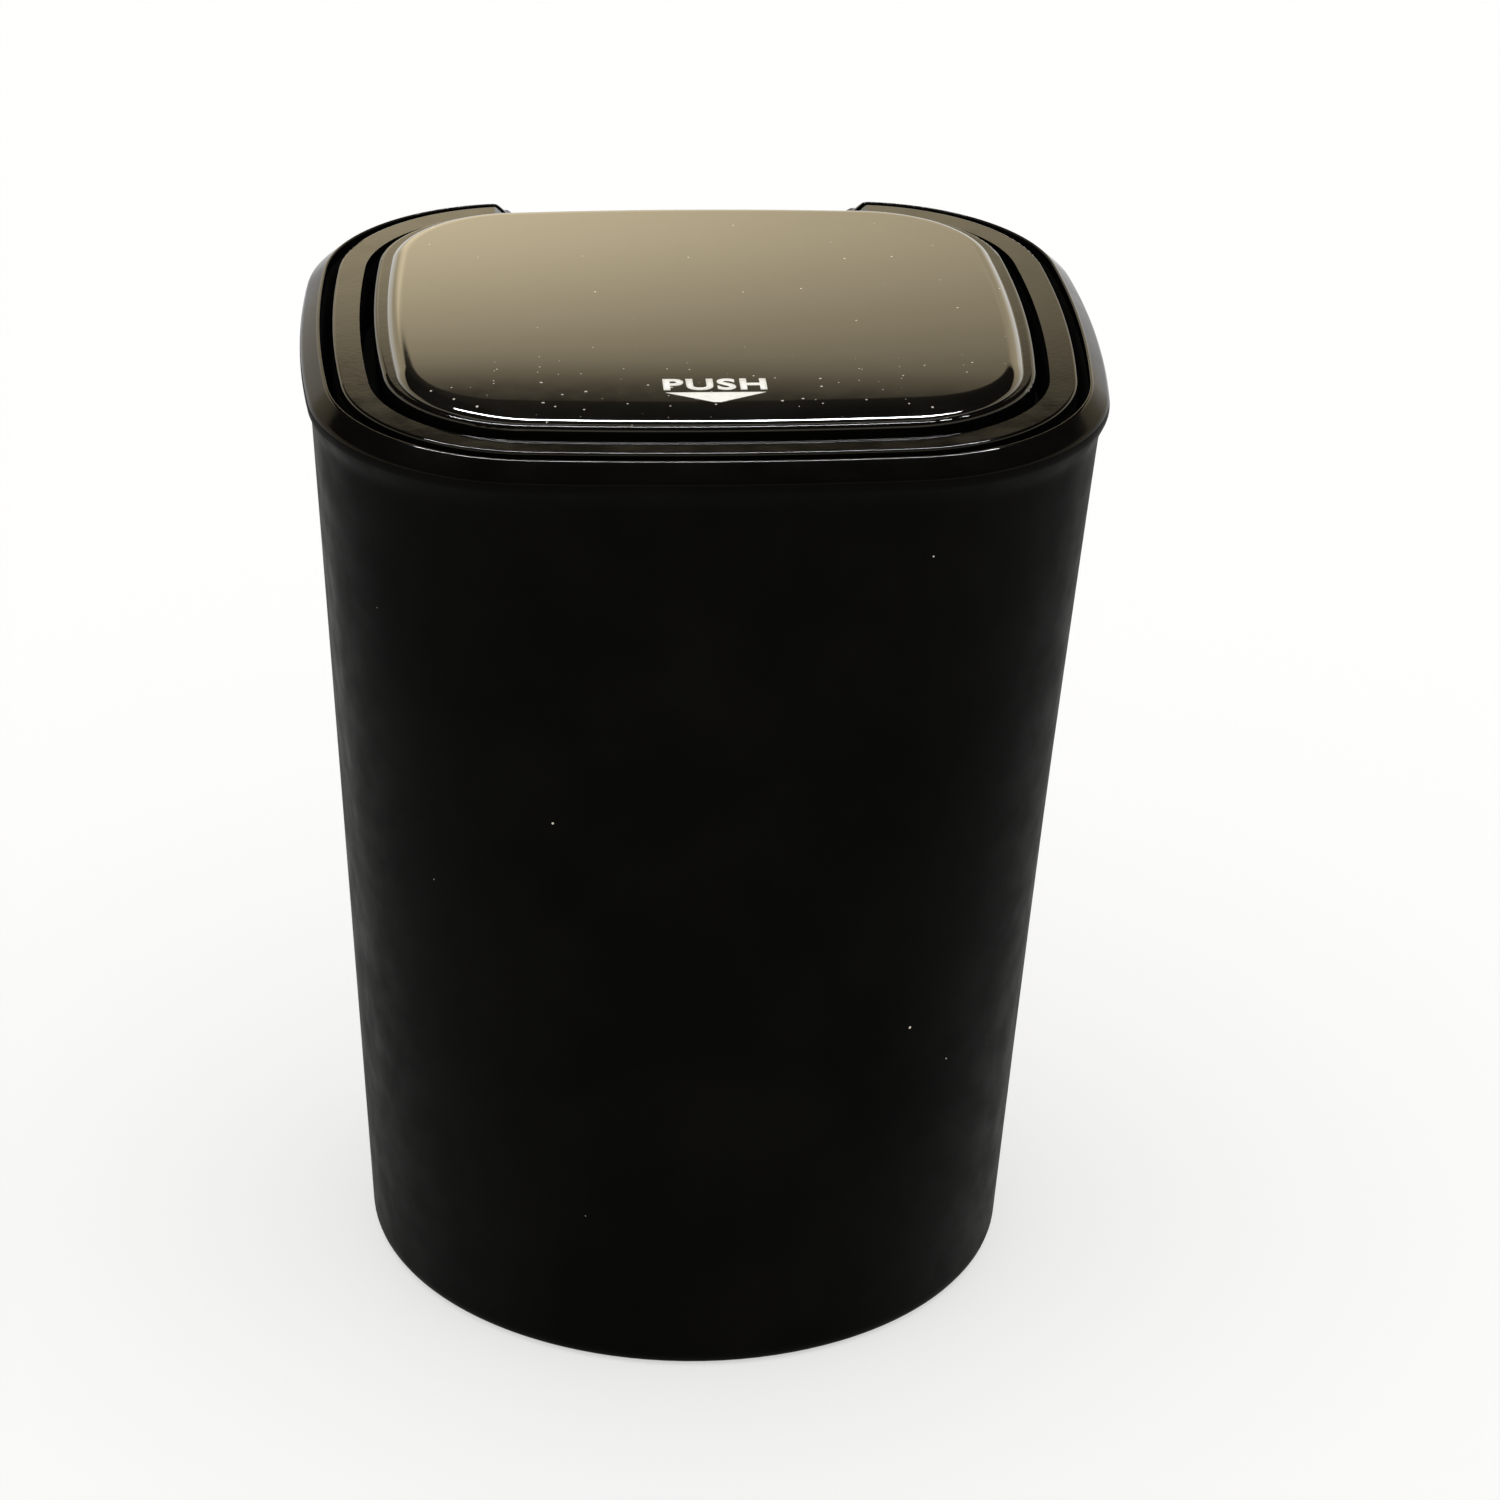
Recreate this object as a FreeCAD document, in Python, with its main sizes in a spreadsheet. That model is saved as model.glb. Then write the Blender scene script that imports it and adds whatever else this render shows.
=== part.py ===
import FreeCAD, Part
import math
import os
import Sketcher

# Car ashtray that stands in a cup holder: a tapered bin, a drop-in head and a sprung flip-up lid.
# Millimetres. The origin is the centre of the base, +Z is up and the lid opens from the front, -Y.
# An inset is measured inwards from the outline of the lip, the highest edge of the bin's rim.
SIZES = {
    # Outline of the lip: eight tangent arcs
    "lip_height": 102.6,
    "lip_half_width": 38.4,
    "lip_half_depth": 34.6,
    "corner_radius": 20.3,
    "side_radius": 164.0,
    "front_radius": 266.0,
    # Bin
    "base_radius": 33.7,
    "base_round": 1.6,
    "base_wall": 1.8,
    "floor_height": 3.0,
    "floor_slope": 2.5,
    "foot_width": 4.0,
    "foot_recess": 1.2,
    "wall_out": 1.25,
    "mouth_inset": 0.15,
    "rim_out": 1.9,
    "rim_slope": 1.7,
    "rim_height": 2.6,
    "rim_flare": 3.4,
    "flare_out": 0.3,
    "rim_notch_gap": 0.3,
    "rim_notch_foot": 0.6,
    "notch_slope": 1.8,
    "gusset_thick": 2.0,
    "gusset_inset": 3.4,
    "gusset_bite": 0.6,
    "gusset_height": 14.0,
    # Head frame
    "frame_inset": 1.35,
    "frame_rise": 0.15,
    "frame_depth": 13.0,
    "frame_wall": 1.5,
    "frame_round": 0.3,
    "skirt_drop": 5.6,
    "skirt_draft": 0.95,
    "recess_inset": 4.1,
    "ledge_drop": 7.5,
    "ledge_thick": 1.6,
    "throat_side": 12.9,
    "throat_front": 17.1,
    "throat_rear": 11.1,
    "throat_corner": 9.0,
    "hinge_notch_gap": 0.4,
    # Hinge
    "hinge_inset": 3.1,
    "hinge_drop": 2.2,
    "pin_radius": 1.0,
    "pin_half": 24.0,
    "pin_seat_gap": 0.02,
    "pin_run_gap": 0.05,
    "knuckle_radius": 1.8,
    "knuckle_half": 17.1,
    "spring_gap_half": 6.4,
    "hinge_wire": 0.3,
    "hinge_coil": 1.35,
    "hinge_coil_gap": 0.08,
    "hinge_turns": 8.5,
    "hinge_leg_lid": 7.0,
    "hinge_leg_frame": 2.6,
    "spring_rest_half": 1.2,
    "spring_rest_drop": 3.9,
    "spring_rest_reach": 6.2,
    # Lid
    "lid_inset": 5.5,
    "lid_rise": 1.05,
    "lid_depth": 5.0,
    "lid_wall": 1.3,
    "lid_top": 1.5,
    "lid_round": 0.5,
    "knuckle_root": 0.8,
    "dome_inset": 6.9,
    "dome_sink": 0.6,
    "dome_gap": 0.1,
    "dome_edge": 0.28,
    "dome_shoulder_in": 1.5,
    "dome_shoulder_up": 0.4,
    "dome_crown_in": 6.0,
    "dome_crown_up": 0.8,
    "panel_gap": 0.2,
    "panel_drop": 3.0,
    "panel_thick": 1.6,
    "boss_radius": 2.4,
    "screw_side": 17.4,
    "screw_front": 18.6,
    "screw_depth": 2.6,
    "screw_shank": 0.95,
    "screw_gap": 0.05,
    "screw_panel_gap": 0.25,
    "screw_head": 1.9,
    "screw_head_high": 1.1,
    "screw_slot_half": 1.1,
    "screw_slot_wide": 0.25,
    "screw_slot_deep": 0.6,
    # Push latch, centred on the frame's front ledge
    "latch_inset": 10.0,
    "striker_half": 1.2,
    "striker_head_half": 2.2,
    "striker_head_drop": 9.0,
    "striker_head_high": 1.2,
    "striker_long": 4.0,
    "jaw_half": 1.55,
    "jaw_high": 1.2,
    "jaw_pocket_half": 2.6,
    "jaw_pocket_high": 4.6,
    "slider_drop": 6.8,
    "slider_half": 3.9,
    "slider_front": 2.9,
    "slider_base": 3.5,
    "slider_bore": 2.5,
    "slider_bore_deep": 2.0,
    "slider_gap": 0.2,
    "case_wall": 0.9,
    "case_flange": 1.2,
    "case_flange_front": 0.7,
    "case_flange_high": 1.0,
    "case_gap": 0.15,
    "case_barb": 0.6,
    "case_barb_high": 2.0,
    "case_barb_half": 1.5,
    "case_floor": 1.2,
    "latch_spring_high": 6.0,
    "latch_wire": 0.25,
    "latch_coil": 1.9,
    "latch_turns": 5.0,
    # Rubber stops under the lid
    "bumper_side": 16.4,
    "bumper_front": 13.1,
    "bumper_radius": 2.5,
    "bumper_high": 1.6,
}

document = FreeCAD.newDocument("car_ashtray")
sheet = document.addObject("Spreadsheet::Sheet", "sheet")
for row, (alias, size) in enumerate(SIZES.items(), start=1):
    sheet.set("A%d" % row, alias)
    sheet.set("B%d" % row, str(size))
    sheet.setAlias("B%d" % row, alias)
document.recompute()


def total(*terms):
    """Expression and value of a sum of sheet cells; a leading minus subtracts the cell."""
    expression = "0"
    value = 0.0
    for term in terms:
        alias = term.lstrip("-")
        minus = term.startswith("-")
        expression += (" - sheet." if minus else " + sheet.") + alias
        value += -SIZES[alias] if minus else SIZES[alias]
    return expression, value


def negative(size):
    """The same size measured the other way."""
    return "-(%s)" % size[0], -size[1]


def double(size):
    """Twice the size, for lengths that run both ways from a plane of symmetry."""
    return "2 * (%s)" % size[0], 2 * size[1]


def lip(*terms):
    """Height above the base, given from the plane of the lip."""
    return total("lip_height", *terms)


ZERO = total()
HINGE_Y = total("lip_half_depth", "-hinge_inset")
HINGE_Z = lip("-hinge_drop")
NOTCH = ("knuckle_half", "hinge_notch_gap", "rim_notch_gap")
NOTCH_SHOULDER = total(*NOTCH)
LATCH = ("-lip_half_depth", "latch_inset")
LATCH_Y = total(*LATCH)
LATCH_FRONT = negative(LATCH_Y)
SCREW_X = total("lip_half_width", "-screw_side")
SCREW_Y = total("lip_half_depth", "-screw_front")


def new_body(label):
    """Body that holds one piece of the ashtray."""
    body = document.addObject("PartDesign::Body", label)
    body.Label = label
    return body


def new_sketch(body, name, role, lift=ZERO):
    """Sketch on one of the body's origin planes, lifted along the plane's normal."""
    sketch = body.newObject("Sketcher::SketchObject", name)
    plane = next(item for item in body.Origin.OriginFeatures if item.Role == role)
    sketch.AttachmentSupport = [(plane, "")]
    sketch.MapMode = "FlatFace"
    sketch.AttachmentOffset = FreeCAD.Placement(FreeCAD.Vector(0, 0, lift[1]), FreeCAD.Rotation())
    sketch.setExpression("AttachmentOffset.Base.z", lift[0])
    return sketch


def drive(sketch, kind, *arguments):
    """Add a dimension whose value, the last argument, is a sheet expression with its present value."""
    expression, value = arguments[-1]
    index = sketch.addConstraint(Sketcher.Constraint(kind, *arguments[:-1], value))
    sketch.setExpression("Constraints[%d]" % index, expression)


def fix_point(sketch, geometry, position, x, y):
    """Fix a point of the sketch by its two distances from the sketch's origin."""
    drive(sketch, "DistanceX", -1, 1, geometry, position, x)
    drive(sketch, "DistanceY", -1, 1, geometry, position, y)


def add_circle(sketch, x, y, radius):
    """Circle with a driven centre and radius."""
    centre = FreeCAD.Vector(x[1], y[1], 0)
    index = sketch.addGeometry(Part.Circle(centre, FreeCAD.Vector(0, 0, 1), radius[1]), False)
    fix_point(sketch, index, 3, x, y)
    drive(sketch, "Radius", index, radius)


def add_polygon(sketch, corners):
    """Closed polygon with every corner driven."""
    points = [FreeCAD.Vector(x[1], y[1], 0) for x, y in corners]
    count = len(points)
    lines = []
    for i in range(count):
        lines.append(sketch.addGeometry(Part.LineSegment(points[i], points[(i + 1) % count]), False))
    for i in range(count):
        sketch.addConstraint(Sketcher.Constraint("Coincident", lines[i], 2, lines[(i + 1) % count], 1))
    for line, (x, y) in zip(lines, corners):
        fix_point(sketch, line, 1, x, y)


def add_rectangle(sketch, left, right, low, high):
    """Rectangle between two driven abscissae and two driven ordinates."""
    add_polygon(sketch, [(left, low), (right, low), (right, high), (left, high)])


def add_outline(sketch, inset):
    """Outline of the lip moved inwards: side, front and corner arcs, each tangent to the next."""
    side = SIZES["side_radius"]
    front = SIZES["front_radius"]
    corner = SIZES["corner_radius"]
    side_x = SIZES["lip_half_width"] - side
    front_y = SIZES["lip_half_depth"] - front
    # The corner arc's centre lies side - corner and front - corner away from the other two centres
    reach = math.hypot(side_x, front_y)
    along = ((side - corner) ** 2 - (front - corner) ** 2 + reach ** 2) / (2 * reach)
    across = math.sqrt((side - corner) ** 2 - along ** 2)
    unit_x = -side_x / reach
    unit_y = front_y / reach
    corner_x = side_x + along * unit_x - across * unit_y
    corner_y = along * unit_y + across * unit_x
    turn = math.atan2(corner_y, corner_x - side_x)
    end = math.atan2(corner_y - front_y, corner_x)
    half = math.pi / 2
    arcs = [
        (side_x, 0, side, -turn, turn),
        (corner_x, corner_y, corner, turn, end),
        (0, front_y, front, end, 2 * half - end),
        (-corner_x, corner_y, corner, 2 * half - end, 2 * half - turn),
        (-side_x, 0, side, 2 * half - turn, 2 * half + turn),
        (-corner_x, -corner_y, corner, 2 * half + turn, 2 * half + end),
        (0, -front_y, front, 2 * half + end, 4 * half - end),
        (corner_x, -corner_y, corner, 4 * half - end, 4 * half - turn),
    ]
    first = sketch.GeometryCount
    for x, y, radius, start, stop in arcs:
        whole = Part.Circle(FreeCAD.Vector(x, y, 0), FreeCAD.Vector(0, 0, 1), radius - inset[1])
        sketch.addGeometry(Part.ArcOfCircle(whole, start, stop), False)
    right, rear, left, near = first, first + 2, first + 4, first + 6
    for i in range(8):
        sketch.addConstraint(Sketcher.Constraint("Tangent", first + i, 2, first + (i + 1) % 8, 1))
    for arc, axis in ((right, -1), (left, -1), (rear, -2), (near, -2)):
        sketch.addConstraint(Sketcher.Constraint("PointOnObject", arc, 3, axis))
    for one, other in ((right, left), (rear, near), (1, 3), (1, 5), (1, 7)):
        if one == 1:
            one, other = first + 1, first + other
        sketch.addConstraint(Sketcher.Constraint("Equal", one, other))
    less = negative(inset)
    drive(sketch, "Radius", right, ("sheet.side_radius + " + less[0], side + less[1]))
    drive(sketch, "Radius", rear, ("sheet.front_radius + " + less[0], front + less[1]))
    drive(sketch, "Radius", first + 1, ("sheet.corner_radius + " + less[0], corner + less[1]))
    across_side = total("side_radius", "-lip_half_width")
    across_front = total("front_radius", "-lip_half_depth")
    drive(sketch, "DistanceX", right, 3, -1, 1, across_side)
    drive(sketch, "DistanceX", -1, 1, left, 3, across_side)
    drive(sketch, "DistanceY", rear, 3, -1, 1, across_front)
    drive(sketch, "DistanceY", -1, 1, near, 3, across_front)


def add_foot_profile(sketch):
    """Half section of the bin's rounded foot: a flat underside, a quarter round and a flat top."""
    radius = total("base_radius")
    round_size = total("base_round")
    flat = total("base_radius", "-base_round")
    origin = FreeCAD.Vector(0, 0, 0)
    edge = FreeCAD.Vector(radius[1], round_size[1], 0)
    axis = FreeCAD.Vector(0, round_size[1], 0)
    quarter = Part.Circle(
        FreeCAD.Vector(flat[1], round_size[1], 0), FreeCAD.Vector(0, 0, 1), round_size[1])
    under = sketch.addGeometry(Part.LineSegment(origin, FreeCAD.Vector(flat[1], 0, 0)), False)
    arc = sketch.addGeometry(Part.ArcOfCircle(quarter, -math.pi / 2, 0), False)
    upper = sketch.addGeometry(Part.LineSegment(edge, axis), False)
    middle = sketch.addGeometry(Part.LineSegment(axis, origin), False)
    sketch.addConstraint(Sketcher.Constraint("Tangent", under, 2, arc, 1))
    sketch.addConstraint(Sketcher.Constraint("Coincident", arc, 2, upper, 1))
    sketch.addConstraint(Sketcher.Constraint("Coincident", upper, 2, middle, 1))
    sketch.addConstraint(Sketcher.Constraint("Coincident", middle, 2, under, 1))
    sketch.addConstraint(Sketcher.Constraint("Horizontal", upper))
    fix_point(sketch, under, 1, ZERO, ZERO)
    fix_point(sketch, arc, 3, flat, round_size)
    drive(sketch, "Radius", arc, round_size)
    fix_point(sketch, upper, 2, ZERO, round_size)


def turn(body, name, sketch):
    """Full revolution of a half section about the sketch's upright axis."""
    feature = body.newObject("PartDesign::Revolution", name)
    feature.Profile = sketch
    feature.ReferenceAxis = (sketch, ["V_Axis"])
    feature.Angle = 360
    document.recompute()
    return feature


def extrude(body, kind, name, sketch, length, symmetric=False, flip=False):
    """Pad or pocket of a sketch; a pocket goes against the sketch's normal unless flipped."""
    feature = body.newObject("PartDesign::" + kind, name)
    feature.Profile = sketch
    feature.SideType = "Symmetric" if symmetric else "One side"
    feature.Reversed = flip
    feature.Length = length[1]
    feature.setExpression("Length", length[0])
    sketch.Visibility = False
    document.recompute()
    return feature


def loft(body, kind, name, profile, section):
    """Straight loft between two sketches, added or taken away."""
    feature = body.newObject("PartDesign::" + kind, name)
    feature.Profile = profile
    feature.Sections = [section]
    feature.Ruled = True
    document.recompute()
    return feature


def add_layers(body, name, levels):
    """Stack of straight lofts through outlines, each given by its inset and its height from the lip."""
    for number in range(len(levels) - 1):
        rings = []
        for end, (inset, height) in zip("ab", levels[number:number + 2]):
            ring = new_sketch(body, "%s_ring_%d%s" % (name, number, end), "XY_Plane", lip(*height))
            add_outline(ring, total(*inset))
            rings.append(ring)
        loft(body, "AdditiveLoft", "%s_layer_%d" % (name, number), *rings)


def round_edges(body, name, feature, radius, chosen):
    """Fillet on the feature's edges whose middle point and ends pass a test."""
    names = []
    for number, edge in enumerate(feature.Shape.Edges, start=1):
        middle = edge.valueAt((edge.FirstParameter + edge.LastParameter) / 2)
        if chosen(middle, [vertex.Point for vertex in edge.Vertexes]):
            names.append("Edge%d" % number)
    fillet = body.newObject("PartDesign::Fillet", name)
    fillet.Base = (feature, names)
    fillet.Radius = radius[1]
    fillet.setExpression("Radius", radius[0])
    document.recompute()
    return fillet


def all_at(height):
    """Test for edges that lie level at one height."""
    def chosen(middle, ends):
        return all(abs(point.z - height) < 1e-4 for point in [middle] + ends)
    return chosen


def inside_wall(half, height):
    """Distance from the axis to a point a gusset's bite behind the inner wall, at one height."""
    low = total("floor_height", "floor_slope")
    base = total("base_radius", "-base_wall")
    mouth = total(half, "-mouth_inset")
    share = (
        "((%s) - (%s)) / (sheet.lip_height - (%s))" % (height[0], low[0], low[0]),
        (height[1] - low[1]) / (SIZES["lip_height"] - low[1]),
    )
    return (
        "(%s) + ((%s) - (%s)) * (%s) + sheet.gusset_bite" % (base[0], mouth[0], base[0], share[0]),
        base[1] + (mouth[1] - base[1]) * share[1] + SIZES["gusset_bite"],
    )


def add_notch(sketch, half, low):
    """Rear notch seen from the front: its ends rise to a shoulder, then turn outwards at 45 degrees."""
    mouth = total(*NOTCH, "notch_slope", "notch_slope")
    right = [(half, low), (NOTCH_SHOULDER, lip("-notch_slope")), (mouth, lip("notch_slope"))]
    add_polygon(sketch, right + [(negative(x), z) for x, z in reversed(right)])


def make_bin():
    """Bin: a round base growing into the lip's outline, a sloping rim with a rear notch, four gussets."""
    body = new_body("bin")
    foot = new_sketch(body, "bin_foot_profile", "XZ_Plane")
    add_foot_profile(foot)
    turn(body, "bin_foot", foot)
    base = new_sketch(body, "bin_base", "XY_Plane", total("base_round"))
    add_circle(base, ZERO, ZERO, total("base_radius"))
    wall_top = new_sketch(body, "bin_wall_top", "XY_Plane", lip("-rim_slope"))
    add_outline(wall_top, negative(total("wall_out")))
    loft(body, "AdditiveLoft", "bin_wall", base, wall_top)
    add_layers(body, "bin_rim", [
        (("-flare_out",), ("-rim_height", "-rim_flare")),
        (("-rim_out",), ("-rim_height",)),
        (("-rim_out",), ("-rim_slope",)),
        ((), ()),
    ])
    floor = new_sketch(body, "bin_floor", "XY_Plane", total("floor_height"))
    add_circle(floor, ZERO, ZERO, total("base_radius", "-base_wall", "-floor_slope"))
    slope_end = total("floor_height", "floor_slope")
    skirting = new_sketch(body, "bin_skirting", "XY_Plane", slope_end)
    add_circle(skirting, ZERO, ZERO, total("base_radius", "-base_wall"))
    loft(body, "SubtractiveLoft", "bin_floor_slope", floor, skirting)
    cavity = new_sketch(body, "bin_cavity_low", "XY_Plane", slope_end)
    add_circle(cavity, ZERO, ZERO, total("base_radius", "-base_wall"))
    mouth = new_sketch(body, "bin_mouth", "XY_Plane", lip())
    add_outline(mouth, total("mouth_inset"))
    loft(body, "SubtractiveLoft", "bin_cavity", cavity, mouth)
    recess = new_sketch(body, "bin_recess", "XY_Plane")
    add_circle(recess, ZERO, ZERO, total("base_radius", "-foot_width"))
    extrude(body, "Pocket", "bin_foot_recess", recess, total("foot_recess"), flip=True)
    notch = new_sketch(body, "bin_notch", "XZ_Plane")
    add_notch(notch, NOTCH_SHOULDER, lip("-notch_slope", "-rim_notch_foot"))
    extrude(body, "Pocket", "bin_rim_notch", notch, total("lip_half_depth", "rim_out", "rim_height"))
    top = lip("-frame_depth")
    foot_z = lip("-frame_depth", "-gusset_height")
    for name, role, half in (
        ("side", "XZ_Plane", "lip_half_width"),
        ("front", "YZ_Plane", "lip_half_depth"),
    ):
        sketch = new_sketch(body, "bin_gusset_" + name, role)
        corners = [
            (total(half, "-gusset_inset"), top),
            (inside_wall(half, top), top),
            (inside_wall(half, foot_z), foot_z),
        ]
        add_polygon(sketch, corners)
        add_polygon(sketch, [(negative(x), z) for x, z in corners])
        extrude(body, "Pad", "bin_gussets_" + name, sketch, total("gusset_thick"), symmetric=True)
    return body


def coil_length():
    """Length of the hinge spring's coil: its turns lie one gap apart."""
    pitch = total("hinge_wire", "hinge_wire", "hinge_coil_gap")
    return "(%s) * sheet.hinge_turns" % pitch[0], pitch[1] * SIZES["hinge_turns"]


def make_head_frame():
    """Ring that drops into the bin: a band level with the lip, a drafted skirt, a recess, a ledge and a throat."""
    body = new_body("head_frame")
    block = new_sketch(body, "frame_block", "XY_Plane", lip("-skirt_drop"))
    add_outline(block, total("frame_inset"))
    band = extrude(body, "Pad", "frame_band", block, total("skirt_drop", "frame_rise"))
    top = SIZES["lip_height"] + SIZES["frame_rise"]
    round_edges(body, "frame_band_round", band, total("frame_round"), all_at(top))
    add_layers(body, "frame_skirt", [
        (("frame_inset", "skirt_draft"), ("-frame_depth",)),
        (("frame_inset",), ("-skirt_drop",)),
    ])
    recess = new_sketch(body, "frame_recess", "XY_Plane", lip("frame_rise"))
    add_outline(recess, total("recess_inset"))
    extrude(body, "Pocket", "frame_lid_recess", recess, total("ledge_drop", "frame_rise"))
    under = new_sketch(body, "frame_under", "XY_Plane", lip("-frame_depth"))
    add_outline(under, total("frame_inset", "skirt_draft", "frame_wall"))
    hollow = total("frame_depth", "-ledge_drop", "-ledge_thick")
    extrude(body, "Pocket", "frame_hollow", under, hollow, flip=True)
    throat = new_sketch(body, "frame_throat", "XY_Plane", lip("-ledge_drop"))
    half = total("lip_half_width", "-throat_side")
    near = total("-lip_half_depth", "throat_front")
    add_rectangle(throat, negative(half), half, near, total("lip_half_depth", "-throat_rear"))
    opening = extrude(body, "Pocket", "frame_throat_cut", throat, total("ledge_thick"))

    def throat_corner(middle, ends):
        upright = len(ends) == 2 and abs(ends[0].z - ends[1].z) > SIZES["ledge_thick"] - 0.01
        return upright and abs(abs(middle.x) - half[1]) < 1e-4
    round_edges(body, "frame_throat_round", opening, total("throat_corner"), throat_corner)
    window = new_sketch(body, "frame_latch_window", "XY_Plane", lip("-ledge_drop"))
    side = total("slider_half", "slider_gap", "case_wall", "case_gap")
    deep = ("slider_front", "slider_gap", "case_wall", "case_gap")
    near = total(*LATCH, *["-" + term for term in deep])
    add_rectangle(window, negative(side), side, near, total(*LATCH, *deep))
    extrude(body, "Pocket", "frame_window_cut", window, total("ledge_thick"))
    notch = new_sketch(body, "frame_notch", "XZ_Plane")
    low = lip("-hinge_drop", "-knuckle_radius", "-hinge_notch_gap")
    add_notch(notch, total("knuckle_half", "hinge_notch_gap"), low)
    extrude(body, "Pocket", "frame_hinge_notch", notch, total("lip_half_depth"))
    bore = new_sketch(body, "frame_pin_bore", "YZ_Plane")
    add_circle(bore, HINGE_Y, HINGE_Z, total("pin_radius", "pin_seat_gap"))
    extrude(body, "Pocket", "frame_pin_hole", bore, double(total("lip_half_width")), symmetric=True)
    rest = new_sketch(body, "frame_rest", "XY_Plane", lip("-ledge_drop"))
    coil = coil_length()
    reach = ("(%s) / 2 + sheet.spring_rest_half" % coil[0], coil[1] / 2 + SIZES["spring_rest_half"])
    add_rectangle(
        rest, ZERO, reach,
        total("lip_half_depth", "-spring_rest_reach"), total("lip_half_depth", "-recess_inset", "frame_wall"),
    )
    extrude(body, "Pad", "frame_spring_rest", rest, total("ledge_drop", "-spring_rest_drop"))
    return body


def make_lid_shell():
    """Lid: a shallow cap with a seat for the dome, four screw bosses and two hinge knuckles."""
    body = new_body("lid_shell")
    block = new_sketch(body, "lid_block", "XY_Plane", lip("-lid_depth"))
    add_outline(block, total("lid_inset"))
    cap = extrude(body, "Pad", "lid_cap", block, total("lid_depth", "lid_rise"))
    top = SIZES["lip_height"] + SIZES["lid_rise"]
    round_edges(body, "lid_round", cap, total("lid_round"), all_at(top))
    under = new_sketch(body, "lid_under", "XY_Plane", lip("-lid_depth"))
    add_outline(under, total("lid_inset", "lid_wall"))
    extrude(body, "Pocket", "lid_hollow", under, total("lid_depth", "lid_rise", "-lid_top"), flip=True)
    seat = new_sketch(body, "lid_seat", "XY_Plane", lip("lid_rise"))
    add_outline(seat, total("dome_inset"))
    extrude(body, "Pocket", "lid_dome_seat", seat, total("dome_sink"))
    bosses = new_sketch(body, "lid_boss_rings", "XY_Plane", lip("-panel_drop"))
    holes = new_sketch(body, "lid_boss_cores", "XY_Plane", lip("-panel_drop"))
    for x in (SCREW_X, negative(SCREW_X)):
        for y in (SCREW_Y, negative(SCREW_Y)):
            add_circle(bosses, x, y, total("boss_radius"))
            add_circle(holes, x, y, total("screw_shank", "screw_gap"))
    extrude(body, "Pad", "lid_bosses", bosses, total("panel_drop", "lid_rise", "-lid_top"))
    profile = new_sketch(body, "lid_knuckle", "YZ_Plane")
    root = total("lip_half_depth", "-lid_inset", "-knuckle_root")
    low = lip("-hinge_drop", "-knuckle_radius")
    high = lip("-hinge_drop", "knuckle_radius")
    corners = [FreeCAD.Vector(x[1], y[1], 0) for x, y in (
        (root, low), (HINGE_Y, low), (HINGE_Y, high), (root, high))]
    barrel = Part.Circle(
        FreeCAD.Vector(HINGE_Y[1], HINGE_Z[1], 0), FreeCAD.Vector(0, 0, 1), SIZES["knuckle_radius"])
    bottom = profile.addGeometry(Part.LineSegment(corners[0], corners[1]), False)
    arc = profile.addGeometry(Part.ArcOfCircle(barrel, -math.pi / 2, math.pi / 2), False)
    upper = profile.addGeometry(Part.LineSegment(corners[2], corners[3]), False)
    back = profile.addGeometry(Part.LineSegment(corners[3], corners[0]), False)
    profile.addConstraint(Sketcher.Constraint("Tangent", bottom, 2, arc, 1))
    profile.addConstraint(Sketcher.Constraint("Tangent", arc, 2, upper, 1))
    profile.addConstraint(Sketcher.Constraint("Coincident", upper, 2, back, 1))
    profile.addConstraint(Sketcher.Constraint("Coincident", back, 2, bottom, 1))
    fix_point(profile, arc, 3, HINGE_Y, HINGE_Z)
    drive(profile, "Radius", arc, total("knuckle_radius"))
    fix_point(profile, bottom, 1, root, low)
    fix_point(profile, upper, 2, root, high)
    extrude(body, "Pad", "lid_knuckles", profile, double(total("knuckle_half")), symmetric=True)
    gap_plane = negative(total("lip_half_depth", "-lid_inset", "-lid_wall", "-knuckle_root"))
    gap = new_sketch(body, "lid_spring_gap", "XZ_Plane", gap_plane)
    reach = total("spring_gap_half")
    add_rectangle(gap, negative(reach), reach, lip("-lid_depth", "-lid_round"), lip("lid_rise", "-lid_top"))
    extrude(body, "Pocket", "lid_spring_cut", gap, total("lid_inset", "lid_wall", "knuckle_root"))
    bore = new_sketch(body, "lid_pin_bore", "YZ_Plane")
    add_circle(bore, HINGE_Y, HINGE_Z, total("pin_radius", "pin_run_gap"))
    extrude(body, "Pocket", "lid_pin_hole", bore, double(total("pin_half")), symmetric=True)
    extrude(body, "Pocket", "lid_screw_holes", holes, total("screw_depth", "screw_gap"), flip=True)
    return body


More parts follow.
